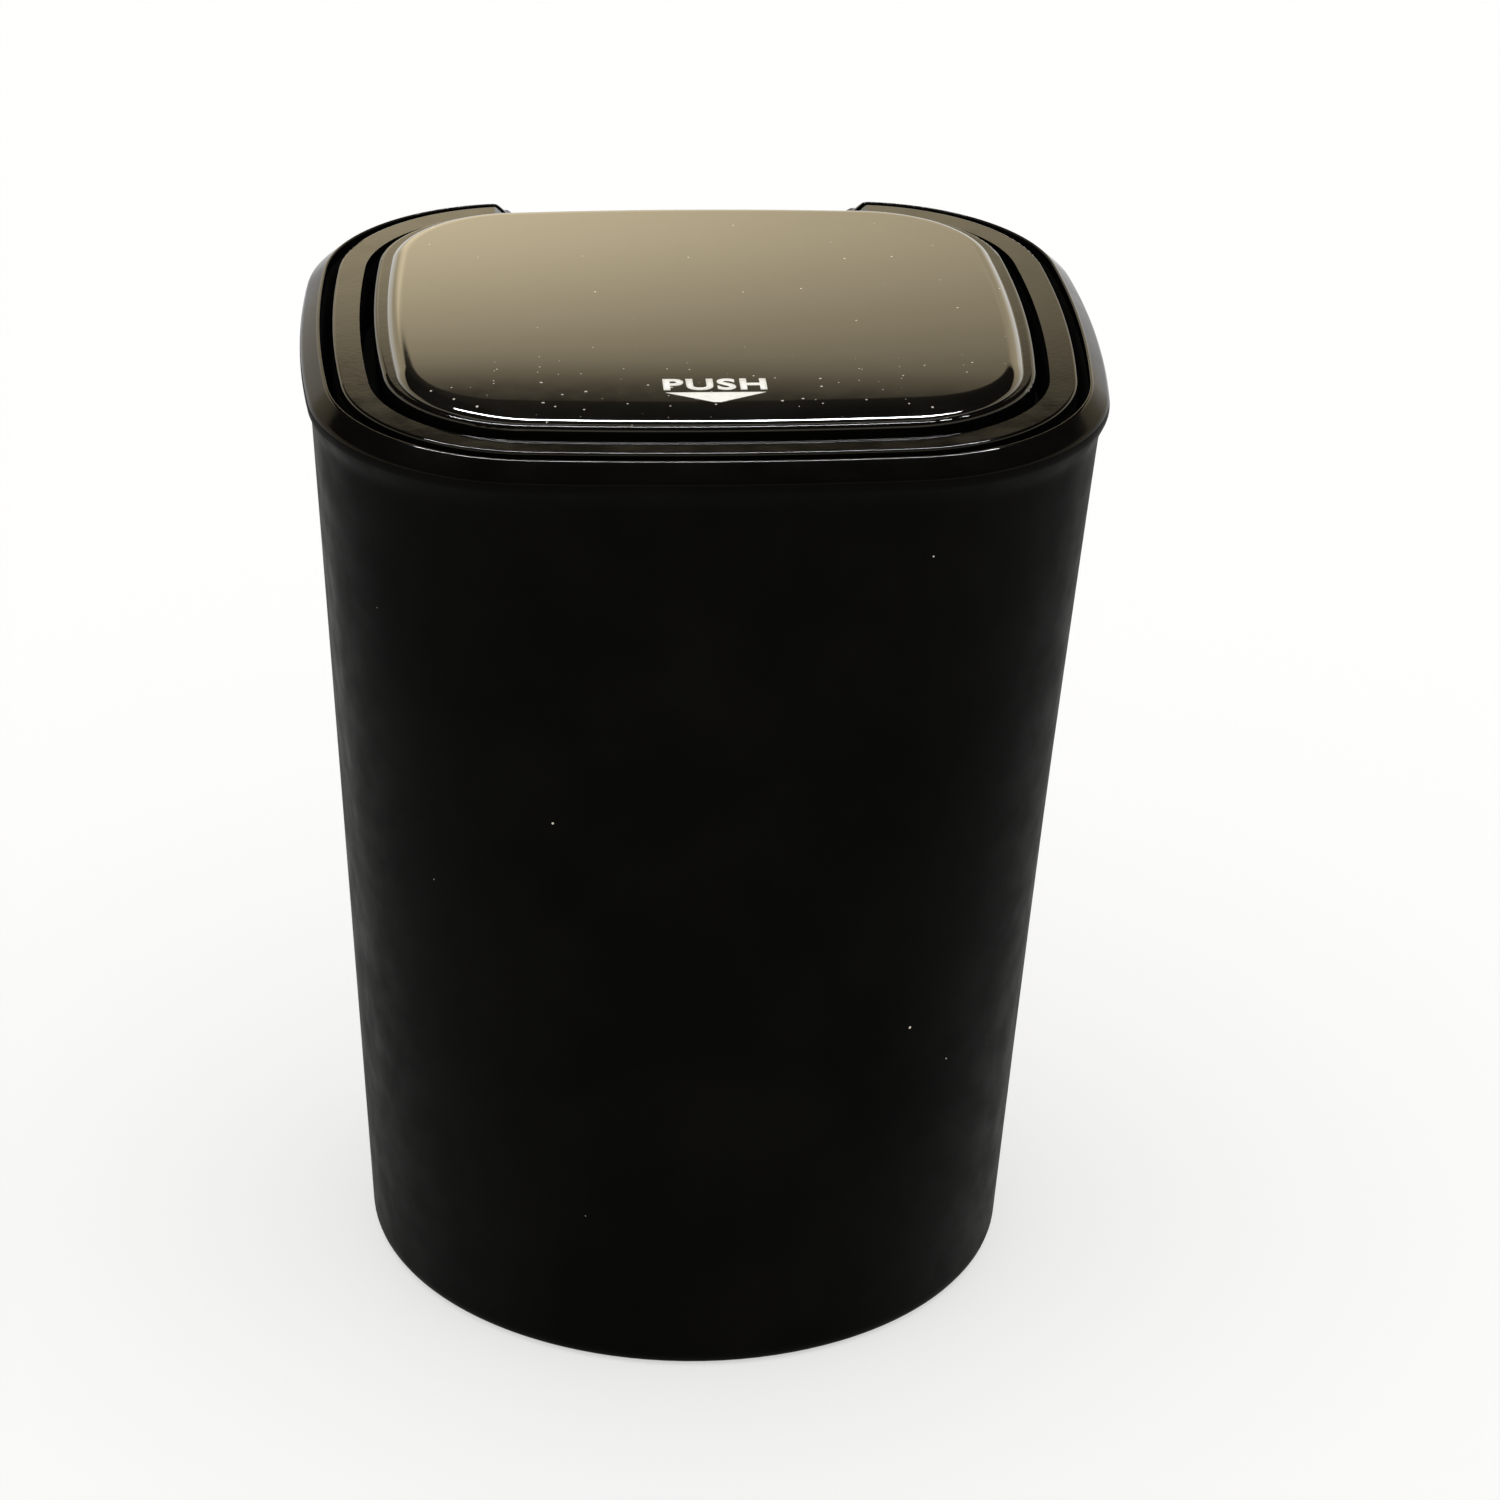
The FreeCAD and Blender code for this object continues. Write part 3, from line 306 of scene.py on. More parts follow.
def soft_corners(corners, setback, steps=7):
    """Open line through the corners, each inner corner replaced by a quadratic curve.

    The curve starts and ends one set-back from the corner: (1-t)^2 a + 2 t (1-t) corner + t^2 b.
    """
    corners = np.asarray(corners, float)
    middle = corners[1:-1, None]
    back = corners[:-2, None] - middle
    ahead = corners[2:, None] - middle
    setback = np.broadcast_to(np.asarray(setback, float), len(middle))[:, None, None]
    start = middle + back / np.linalg.norm(back, axis=-1, keepdims=True) * setback
    stop = middle + ahead / np.linalg.norm(ahead, axis=-1, keepdims=True) * setback
    t = np.linspace(0.0, 1.0, steps)[None, :, None]
    curve = (1 - t) ** 2 * start + 2 * t * (1 - t) * middle + t ** 2 * stop
    return np.concatenate([corners[:1], curve.reshape(-1, 2), corners[-1:]])


def at_height(plan, height):
    """Plan points of each row lifted to the row's height, or each point to its own."""
    z = np.broadcast_to(np.reshape(height, (len(plan), -1, 1)), plan.shape[:2] + (1,))
    return np.concatenate([plan, z], -1)


def make_piece(name, points, quads, triangles, finishes, finish_of_face=None):
    """Mesh object from arrays of points, four-sided and three-sided faces, smooth up to the sharp angle."""
    mesh = bpy.data.meshes.new(name)
    mesh.vertices.add(len(points))
    mesh.vertices.foreach_set("co", np.ascontiguousarray(points, np.float32).ravel())
    corners = np.concatenate([quads.ravel(), triangles.ravel()]).astype(np.int32)
    mesh.loops.add(len(corners))
    mesh.loops.foreach_set("vertex_index", corners)
    starts = np.concatenate([
        np.arange(len(quads)) * 4, len(quads) * 4 + np.arange(len(triangles)) * 3]).astype(np.int32)
    mesh.polygons.add(len(starts))
    mesh.polygons.foreach_set("loop_start", starts)
    if finish_of_face is not None:
        mesh.polygons.foreach_set("material_index", finish_of_face.astype(np.int32))
    mesh.update(calc_edges=True)
    mesh.validate()
    mesh.polygons.foreach_set("use_smooth", np.ones(len(mesh.polygons), bool))
    mesh.set_sharp_from_angle(angle=SHARP_ANGLE)
    for finish in finishes:
        mesh.materials.append(finish)
    piece = bpy.data.objects.new(name, mesh)
    bpy.context.scene.collection.objects.link(piece)
    return piece


def grid_faces(rows, columns):
    """Four-sided faces that join each row of a closed grid to the next, numbered row by row."""
    here = np.arange(columns)
    beside = (here + 1) % columns
    row = np.arange(rows - 1)[:, None] * columns
    faces = np.stack([row + here, row + beside, row + columns + beside, row + columns + here], -1)
    return faces.reshape(-1, 4), here, beside


def make_skin(name, rows, low, high, finishes, finish_of_row=None):
    """Closed skin: rows of points carried round the outline, with a fan to a middle point at each end.

    Faces join each row to the next; going up the outside and down the inside they all face outwards.
    """
    count, columns = rows.shape[:2]
    quads, here, beside = grid_faces(count, columns)
    first, last = count * columns, count * columns + 1
    top = (count - 1) * columns
    triangles = np.concatenate([
        np.stack([np.full(columns, first), beside, here], -1),
        np.stack([np.full(columns, last), top + here, top + beside], -1)])
    points = np.concatenate([rows.reshape(-1, 3), [low, high]])
    finish = None
    if finish_of_row is not None:
        finish = np.concatenate([
            np.repeat(finish_of_row[:-1], columns),
            np.full(columns, finish_of_row[0]), np.full(columns, finish_of_row[-1])])
    return make_piece(name, points, quads, triangles, finishes, finish)


def bin_rows(lip, size):
    """Rows of the bin's skin from the middle of its underside, up the outside and down to the floor.

    The foot is a turned profile. The wall blends the base circle into the lip's outline, in step with
    the height, and the flare under the bead is joined to it by a smooth maximum of the two distances
    from the axis: (a + b + sqrt((a - b)^2 + k^2)) / 2. The bead is a profile of inset against height.
    The rear notch caps the height by a smooth minimum with its floor, its steep ends and their slope.
    With each row goes the number of its finish: wall, sloping face, lip or inside.
    """
    angle = stations(lip)
    top = LIP_HEIGHT
    wall_plan = outline(lip, np.array([-size.wall_out]), angle)[0]
    polar = np.arctan2(wall_plan[:, 1], wall_plan[:, 0])
    around = np.stack([np.cos(polar), np.sin(polar)], -1)
    recess = size.base_radius - size.foot_width
    foot = soft_corners(
        [(HUB, size.foot_recess), (recess, size.foot_recess), (recess, 0.0), (size.base_radius, 0.0),
         (size.base_radius, size.base_round * JUST_OVER)],
        [FOOT_EDGE, FOOT_EDGE, size.base_round])
    foot_rows = at_height(foot[:, None, :1] * around, foot[:, 1])

    share = (WALL_ROWS - size.base_round) / (top - size.rim_slope - size.base_round)
    wall = (1 - share[:, None, None]) * size.base_radius * around + share[:, None, None] * wall_plan
    rise = (WALL_ROWS - (top - size.rim_height - size.rim_flare)) / size.rim_flare
    flare = outline(lip, -size.flare_out - (size.rim_out - size.flare_out) * rise, angle)
    wall_far = np.linalg.norm(wall, axis=-1)
    flare_far = np.linalg.norm(flare, axis=-1)
    far = (wall_far + flare_far + np.sqrt((wall_far - flare_far) ** 2 + MELD ** 2)) / 2
    wall_rows = at_height(wall * (far / wall_far)[..., None], WALL_ROWS)

    edge = size.edge_round
    start_z = top - size.rim_height - BEAD_START
    start = -size.rim_out + (size.rim_out - size.flare_out) * BEAD_START / size.rim_flare
    apex = top + size.mouth_inset * size.rim_slope / size.rim_out
    bead = soft_corners(
        [(start, start_z - HAIR), (-size.rim_out, top - size.rim_height),
         (-size.rim_out, top - size.rim_slope), (size.mouth_inset, apex),
         (size.mouth_inset, top - BEAD_END)],
        [BEAD_FOOT_EDGE, edge, edge], BEAD_STEPS)
    bead_rows = at_height(outline(lip, bead[:, 0], angle), bead[:, 1])

    slope_top = size.floor_height + size.floor_slope
    inner_z = np.concatenate([[top - INNER_FIRST], INNER_ROWS, [slope_top + INNER_LAST]])
    share = (inner_z - slope_top) / (top - slope_top)
    inner_radius = size.base_radius - size.base_wall
    mouth = outline(lip, np.array([size.mouth_inset]), angle)[0]
    inner = (1 - share[:, None, None]) * inner_radius * around + share[:, None, None] * mouth
    inner_rows = at_height(inner, inner_z)
    floor = soft_corners(
        [(inner_radius, slope_top + FLOOR_FIRST), (inner_radius, slope_top),
         (inner_radius - size.floor_slope, size.floor_height), (HUB, size.floor_height)],
        [FLOOR_EDGE, FLOOR_EDGE])
    floor_rows = at_height(floor[:, None, :1] * around, floor[:, 1])

    rows = np.concatenate([foot_rows, wall_rows, bead_rows, inner_rows, floor_rows])
    beyond = np.maximum(np.abs(rows[..., 0]) - size.notch_half, 0.0)
    cap = top + np.minimum(NOTCH_STEEPNESS * beyond - size.notch_drop, beyond - size.notch_slope)
    cap = np.where(rows[..., 1] > 0, cap, 2 * top)
    z = rows[..., 2]
    rows[..., 2] = (z + cap - np.sqrt((z - cap) ** 2 + MELD ** 2)) / 2
    bead_from = len(foot_rows) + len(wall_rows)
    lip_from = bead_from + 1 + 2 * BEAD_STEPS
    inside_from = bead_from + len(bead_rows) - 1
    finish = np.zeros(len(rows), int)
    finish[lip_from - 1 - BEAD_STEPS // 2:lip_from] = 1
    finish[lip_from:inside_from] = 2
    finish[inside_from:] = 3
    return rows, finish


def gusset_points(lip, size):
    """Eight corners of each of the four gussets: a wedge whose level top carries the head frame.

    Its root follows the inner wall, which runs straight from the floor's circle to the mouth, and bites into
    it. A wedge is drawn out from the axis and turned a quarter at a time: (out, along, up).
    """
    half = np.array([lip.half_width, lip.half_depth, lip.half_width, lip.half_depth])[:, None]
    top = LIP_HEIGHT - size.seat_drop
    up = np.array([top, top, top - size.gusset_height, top - size.gusset_height])
    slope_top = size.floor_height + size.floor_slope
    share = (up - slope_top) / (LIP_HEIGHT - slope_top)
    wall = (1 - share) * (size.base_radius - size.base_wall) + share * (half - size.mouth_inset)
    out = wall + size.gusset_bite - np.array([0.0, 0.0, 0.0, GUSSET_TOE])
    out[:, 0] = half[:, 0] - size.gusset_inset
    quarter = np.arange(4)[:, None, None] * math.pi / 2
    along = np.array([-0.5, 0.5])[None, None, :] * size.gusset_thick
    x = out[:, :, None] * np.cos(quarter) - along * np.sin(quarter)
    y = out[:, :, None] * np.sin(quarter) + along * np.cos(quarter)
    z = np.broadcast_to(up[None, :, None], x.shape)
    return np.stack([x, y, z], -1).reshape(-1, 3)


def shoulder_width(size, angle):
    """Width of the resin's shoulder for each outward direction.

    It grows from the sides' width to the front's with the fourth power of the share that faces forward.
    """
    forward = np.maximum(-np.sin(angle), 0.0)
    return size.side_shoulder + (size.shoulder - size.side_shoulder) * forward ** 4


def dome_height(size, depth, width):
    """Height of the resin a given depth inside the plate's edge, for a shoulder of a given width.

    The rise still to come falls with the third power of the share of the shoulder that is left:
    crown * (1 - (1 - depth / width)^3) over the upright edge.
    """
    left = np.clip(1 - depth / width, 0.0, 1.0)
    return LID_TOP + size.edge + size.crown * (1 - left ** 3)


def dome_top(size):
    """Height of the resin's level middle."""
    return LID_TOP + size.edge + size.crown


def dome_stretch(lip, size):
    """Factors and shift that carry plan points of the seat's outline to the resin's.

    The rear edge stays in its seat: y becomes y * (1 + ahead / whole depth) - ahead / 2. Widths grow evenly.
    """
    half = np.array([lip.half_width, lip.half_depth]) - size.inset
    return 1 + np.array([size.aside, size.ahead / 2]) / half, np.array([0.0, -size.ahead / 2])


def dome_rows(lip, size):
    """Rows of the domed plate: foot in its seat, upright edge, then offsets of the outline and scaled copies.

    The height follows dome_height; inside the last offset the outline shrinks towards the level middle.
    """
    angle = stations(lip)
    factor, shift = dome_stretch(lip, size)
    foot = at_height(outline(lip, np.full(2, size.inset), angle), np.array([DOME_LOW, LID_TOP]))
    depth = np.linspace(3 * RESIN_ROUND, size.shoulder, RESIN_SHOULDER_ROWS)
    inset = np.concatenate([[0.0, 0.0, RESIN_ROUND], depth])
    edge = LID_TOP + size.edge * RESIN_EDGE_ROWS
    slope = dome_height(size, depth[:, None], shoulder_width(size, angle))
    height = np.concatenate([np.broadcast_to(edge[:, None], (len(edge), len(angle))), slope])
    rim = at_height(outline(lip, size.inset + inset, angle) * factor + shift, height)
    middle = at_height(
        RESIN_MIDDLE_ROWS[:, None, None] * rim[-1, :, :2], np.full(len(RESIN_MIDDLE_ROWS), dome_top(size)))
    under = at_height(
        RESIN_UNDER_ROWS[:, None, None] * foot[0, :, :2], np.full(len(RESIN_UNDER_ROWS), DOME_LOW))
    return np.concatenate([under, foot, rim, middle])


def on_dome(lip, size, points, lift):
    """Flat legend points laid on the resin near the front arc, lifted off it by a film's thickness.

    The depth inside the plate's edge is the front arc's radius less the distance from its centre,
    for the points carried back to the seat's outline.
    """
    factor, shift = dome_stretch(lip, size)
    seat = (points[:, :2] - shift) / factor
    centre_y = lip.front_radius - lip.half_depth
    depth = lip.front_radius - size.inset - np.hypot(seat[:, 0], seat[:, 1] - centre_y)
    laid = points.copy()
    laid[:, 2] = dome_height(size, depth, size.shoulder) + lift
    return laid


def coil_rows(size, low, high):
    """Rows of a coil between two corners of its box: the wire's circle carried along a helix.

    Along the wire u runs from 0 to 1. It turns by 2 pi * turns * u and climbs by
    u - closeness * sin(2 pi u) / (2 pi), so the turns lie closer together at both ends.
    """
    u = np.linspace(0.0, 1.0, COIL_ROWS)
    climb = u - END_CLOSENESS * np.sin(2 * math.pi * u) / (2 * math.pi)
    turn = 2 * math.pi * size.turns * u[:, None]
    around = -np.linspace(0.0, 2 * math.pi, WIRE_SIDES, endpoint=False)
    reach = size.coil_radius + size.wire_radius * np.cos(around)
    height = low.z + size.wire_radius + (high.z - low.z - 2 * size.wire_radius) * climb
    z = height[:, None] + size.wire_radius * np.sin(around)
    x = (low.x + high.x) / 2 + reach * np.cos(turn)
    y = (low.y + high.y) / 2 + reach * np.sin(turn)
    return np.stack([x, y, z], -1)


class Nodes:
    """Small helper that adds and links the nodes of one tree."""

    def __init__(self, tree):
        self.tree = tree

    def find(self, kind):
        """Node of a kind that the tree already holds."""
        return next(node for node in self.tree.nodes if node.type == kind)

    def add(self, kind, **properties):
        """New node with its properties set."""
        node = self.tree.nodes.new(kind)
        for key, value in properties.items():
            setattr(node, key, value)
        return node

    def link(self, source, target):
        """Join an output to an input."""
        self.tree.links.new(source, target)

    def put(self, value, socket):
        """Give an input an output, a colour or a number."""
        if isinstance(value, bpy.types.NodeSocket):
            self.link(value, socket)
        else:
            socket.default_value = value

    def split(self, vector):
        """The three parts of a vector."""
        node = self.add("ShaderNodeSeparateXYZ")
        self.link(vector, node.inputs["Vector"])
        return node.outputs

    def work(self, operation, *values):
        """Result of a sum on outputs and numbers."""
        node = self.add("ShaderNodeMath", operation=operation)
        for value, socket in zip(values, node.inputs):
            self.put(value, socket)
        return node.outputs["Value"]

    def spread(self, value, low, high, start=0.35, stop=0.65, curve="LINEAR"):
        """Value moved from one range to another; a noise lies mostly between the default start and stop."""
        node = self.add("ShaderNodeMapRange", interpolation_type=curve)
        for name, number in (("From Min", start), ("From Max", stop), ("To Min", low), ("To Max", high)):
            node.inputs[name].default_value = number
        self.link(value, node.inputs["Value"])
        return node.outputs["Result"]

    def mix(self, mask, one, other):
        """Number that goes from one to the other with the mask; inputs 2 and 3 are the node's numbers."""
        node = self.add("ShaderNodeMix", data_type="FLOAT")
        self.link(mask, node.inputs["Factor"])
        self.put(one, node.inputs[2])
        self.put(other, node.inputs[3])
        return node.outputs[0]

    def blend(self, mask, one, other):
        """Colour that goes from one to the other with the mask; inputs 6 and 7 are the node's colours."""
        node = self.add("ShaderNodeMix", data_type="RGBA")
        self.link(mask, node.inputs["Factor"])
        for value, socket in ((one, node.inputs[6]), (other, node.inputs[7])):
            self.put(value if isinstance(value, bpy.types.NodeSocket) else (*value, 1.0), socket)
        return node.outputs[2]


class Finish(Nodes):
    """Material in the making: its shader, and patterns that follow the object."""

    def __init__(self, name):
        self.material = bpy.data.materials.new(name)
        self.material.use_nodes = True
        super().__init__(self.material.node_tree)
        self.shader = self.find("BSDF_PRINCIPLED")
        self.place = self.add("ShaderNodeTexCoord").outputs["Object"]

    def noise(self, scale, detail=3.0, roughness=0.55):
        """Value of a noise in object space."""
        node = self.add("ShaderNodeTexNoise")
        node.inputs["Scale"].default_value = scale
        node.inputs["Detail"].default_value = detail
        node.inputs["Roughness"].default_value = roughness
        self.link(self.place, node.inputs["Vector"])
        return node.outputs["Fac"]

    def specks(self, spacing, size, share, grid="3D", where=None):
        """Mask of round specks: feature points of a cell pattern, kept in a share of the cells.

        A 2D grid is laid out in plan, for a level face; an output given as where scales the specks' radius.
        """
        cells = self.add("ShaderNodeTexVoronoi", voronoi_dimensions=grid)
        cells.inputs["Scale"].default_value = 1.0 / spacing
        self.link(self.place, cells.inputs["Vector"])
        chosen = self.add("ShaderNodeSeparateColor")
        self.link(cells.outputs["Color"], chosen.inputs["Color"])
        radius = self.spread(chosen.outputs["Red"], 0.0, size / spacing, 1.0 - share, 1.0)
        if where is not None:
            radius = self.work("MULTIPLY", radius, where)
        return self.work("LESS_THAN", cells.outputs["Distance"], radius)

    def bump(self, height, strength, distance):
        """Bump on the shader from a height value."""
        node = self.add("ShaderNodeBump")
        node.inputs["Strength"].default_value = strength
        node.inputs["Distance"].default_value = distance
        self.link(height, node.inputs["Height"])
        self.link(node.outputs["Normal"], self.shader.inputs["Normal"])

    def feed(self, socket, value):
        """Link an output to an input of the shader."""
        self.link(value, self.shader.inputs[socket])

    def fix(self, **values):
        """Constant values set on the shader's own inputs."""
        for key, value in values.items():
            self.shader.inputs[key.replace("_", " ")].default_value = value
        return self.material


def shade(tone, factor):
    """Colour made lighter or darker."""
    return tuple(channel * factor for channel in tone)


def black_moulding(name, tone, dust, rough, specular, grain, grain_depth, spacing, speck, share):
    """Black moulding: uneven depth of black, fine moulded grain and sparse dust."""
    make = Finish(name)
    cloudy = make.blend(make.spread(make.noise(55.0), 0.0, 1.0), shade(tone, 0.75), shade(tone, 1.35))
    dusty = make.specks(spacing, speck, share)
    make.feed("Base Color", make.blend(dusty, cloudy, dust))
    make.feed("Roughness", make.spread(make.noise(240.0, 4.0), rough[0], rough[1]))
    make.bump(make.noise(grain, 2.0), 0.35, grain_depth)
    return make.fix(Specular_IOR_Level=specular, IOR=1.5)


def half_polished(name, tone, polish_from):
    """Black moulding polished above a height and satin below it, where it is out of sight.

    The height is the Z of object space: the polish sets in over a tenth of a millimetre.
    """
    make = Finish(name)
    polish = make.spread(make.split(make.place)["Z"], 0.0, 1.0, polish_from, polish_from + POLISH_WIDTH)
    make.feed("Base Color", make.blend(polish, shade(tone, 4.0), tone))
    uneven = make.noise(240.0, 4.0)
    make.feed("Roughness", make.mix(polish, make.spread(uneven, 0.42, 0.52), make.spread(uneven, 0.05, 0.09)))
    make.feed("Specular IOR Level", make.spread(polish, 0.08, 0.5, 0.0, 1.0))
    make.bump(make.noise(1500.0, 2.0), 0.35, 0.000003)
    return make.fix(IOR=1.5)


def resin_dome(name, film, dust):
    """Clear resin over black film: a deep gloss coat, a faint haze and dust, most towards the front."""
    make = Finish(name)
    haze = make.blend(make.spread(make.noise(70.0, 6.0, 0.7), 0.0, 1.0, 0.45, 0.8), film, shade(film, 3.0))
    strewn = make.blend(make.specks(0.0052, 0.00012, 0.5, "2D"), haze, dust)
    front = make.spread(make.split(make.place)["Y"], 1.0, 0.0, -0.020, -0.011)
    make.feed("Base Color", make.blend(make.specks(0.0021, 0.00016, 0.45, "2D", front), strewn, dust))
    make.feed("Roughness", make.spread(make.noise(420.0, 5.0), 0.03, 0.05))
    make.bump(make.noise(300.0, 2.0), 0.05, 0.000002)
    return make.fix(
        Specular_IOR_Level=0.5, IOR=1.5, Coat_Weight=1.0, Coat_Roughness=0.03, Coat_IOR=1.5)


def print_film(name, tone):
    """Screen-printed legend under the resin: even ink with a faint mottle."""
    make = Finish(name)
    make.feed("Base Color", make.blend(make.spread(make.noise(900.0), 0.0, 1.0), shade(tone, 0.94), tone))
    make.feed("Roughness", make.spread(make.noise(1400.0), 0.25, 0.4))
    return make.fix(Specular_IOR_Level=0.4)


def plated_steel(name, tone, streaks):
    """Metal with drawn or turned streaks in its roughness and colour."""
    make = Finish(name)
    stretch = make.add("ShaderNodeMapping")
    stretch.inputs["Scale"].default_value = streaks
    make.link(make.place, stretch.inputs["Vector"])
    make.place = stretch.outputs["Vector"]
    lines = make.noise(600.0, 4.0)
    make.feed("Base Color", make.blend(make.spread(lines, 0.0, 1.0), shade(tone, 0.72), shade(tone, 1.15)))
    make.feed("Roughness", make.spread(lines, 0.22, 0.42))
    make.bump(lines, 0.15, 0.00001)
    return make.fix(Metallic=1.0)


def plain_moulding(name, tone, rough, specular, grain):
    """Unpainted moulding of one tone: slight cloudiness and a matt spark-eroded grain."""
    make = Finish(name)
    cloudy = make.spread(make.noise(120.0), 0.0, 1.0)
    make.feed("Base Color", make.blend(cloudy, shade(tone, 0.85), shade(tone, 1.1)))
    make.feed("Roughness", make.spread(make.noise(500.0), rough[0], rough[1]))
    make.bump(make.noise(grain, 2.0), 0.4, 0.00003)
    return make.fix(Specular_IOR_Level=specular)


def dress(material, *names):
    """Give CAD nodes a finish."""
    for name in names:
        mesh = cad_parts[name].data
        mesh.materials.clear()
        mesh.materials.append(material)


class ASHTRAY_OT_bin(bpy.types.Operator):
    """Mould the bin: wall, rim bead, rear notch, foot and gussets"""
    bl_idname = "ashtray.make_bin"
    bl_label = "Bin"

    def execute(self, context):
        scene = context.scene
        tone, dust = tuple(scene.ashtray_finishes.black), tuple(scene.ashtray_finishes.dust)
        wall = black_moulding(
            "satin_wall", tone, dust, rough=(0.42, 0.52), specular=0.02, grain=2600.0, grain_depth=0.00002,
            spacing=0.0052, speck=0.00016, share=0.5)
        slope = black_moulding(
            "worn_slope", tone, dust, rough=(0.10, 0.20), specular=0.10, grain=1500.0, grain_depth=0.000005,
            spacing=0.0040, speck=0.00014, share=0.3)
        polished = black_moulding(
            "polished_lip", tone, dust, rough=(0.07, 0.11), specular=0.45, grain=1500.0, grain_depth=0.000003,
            spacing=0.0040, speck=0.00014, share=0.3)
        inside = plain_moulding(
            "satin_inside", shade(tone, 5.0), rough=(0.42, 0.55), specular=0.2, grain=2200.0)
        rows, finish = bin_rows(scene.ashtray_lip, scene.ashtray_bin)
        skin = make_skin(
            "bin_skin", rows, (0.0, 0.0, scene.ashtray_bin.foot_recess),
            (0.0, 0.0, scene.ashtray_bin.floor_height), [wall, slope, polished, inside], finish)
        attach(skin, "bin")
        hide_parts("bin")
        points = gusset_points(scene.ashtray_lip, scene.ashtray_bin)
        wedge = np.array([
            [0, 1, 3, 2], [2, 3, 5, 4], [4, 5, 7, 6], [6, 7, 1, 0], [0, 2, 4, 6], [1, 7, 5, 3]])
        quads = (np.arange(4)[:, None, None] * 8 + wedge).reshape(-1, 4)
        gussets = make_piece("bin_gussets", points, quads, NO_TRIANGLES, [inside])
        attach(gussets, "bin")
        return {"FINISHED"}


class ASHTRAY_OT_head(bpy.types.Operator):
    """Finish the drop-in head frame and its rubber stops"""
    bl_idname = "ashtray.finish_head"
    bl_label = "Head frame"

    def execute(self, context):
        finishes = context.scene.ashtray_finishes
        dress(half_polished("frame_black", tuple(finishes.black), FRAME_TOP - POLISH_DEPTH), "head_frame")
        stop_rubber = plain_moulding(
            "stop_rubber", tuple(finishes.rubber), rough=(0.7, 0.9), specular=0.3, grain=1800.0)
        dress(stop_rubber, "bumper_left", "bumper_right")
        return {"FINISHED"}


class ASHTRAY_OT_lid(bpy.types.Operator):
    """Finish the flip-up lid, its inner panel and its screws"""
    bl_idname = "ashtray.finish_lid"
    bl_label = "Lid"

    def execute(self, context):
        finishes = context.scene.ashtray_finishes
        lid_black = black_moulding(
            "lid_black", tuple(finishes.black), tuple(finishes.dust), rough=(0.05, 0.09), specular=0.45,
            grain=1500.0, grain_depth=0.000003, spacing=0.0040, speck=0.00014, share=0.3)
        dress(lid_black, "lid_shell")
        panel_black = plain_moulding(
            "panel_black", shade(tuple(finishes.black), 3.5), rough=(0.5, 0.7), specular=0.4, grain=2200.0)
        dress(panel_black, "lid_panel")
        dress(plated_steel("screw_zinc", tuple(finishes.zinc), streaks=(1.0, 1.0, 0.15)),
              "lid_screw_1", "lid_screw_2", "lid_screw_3", "lid_screw_4")
        return {"FINISHED"}


class ASHTRAY_OT_dome(bpy.types.Operator):
    """Pour the glossy resin dome on the lid"""
    bl_idname = "ashtray.make_dome"
    bl_label = "Dome"

    def execute(self, context):
        scene = context.scene
        resin = resin_dome(
            "dome_resin", tuple(scene.ashtray_finishes.film), tuple(scene.ashtray_finishes.dust))
        size = scene.ashtray_dome
        rows = dome_rows(scene.ashtray_lip, size)
        dome = make_skin(
            "dome_skin", rows, (0.0, 0.0, DOME_LOW), (0.0, 0.0, dome_top(size)), [resin])
        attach(dome, "lid")
        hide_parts("dome_plate")
        return {"FINISHED"}


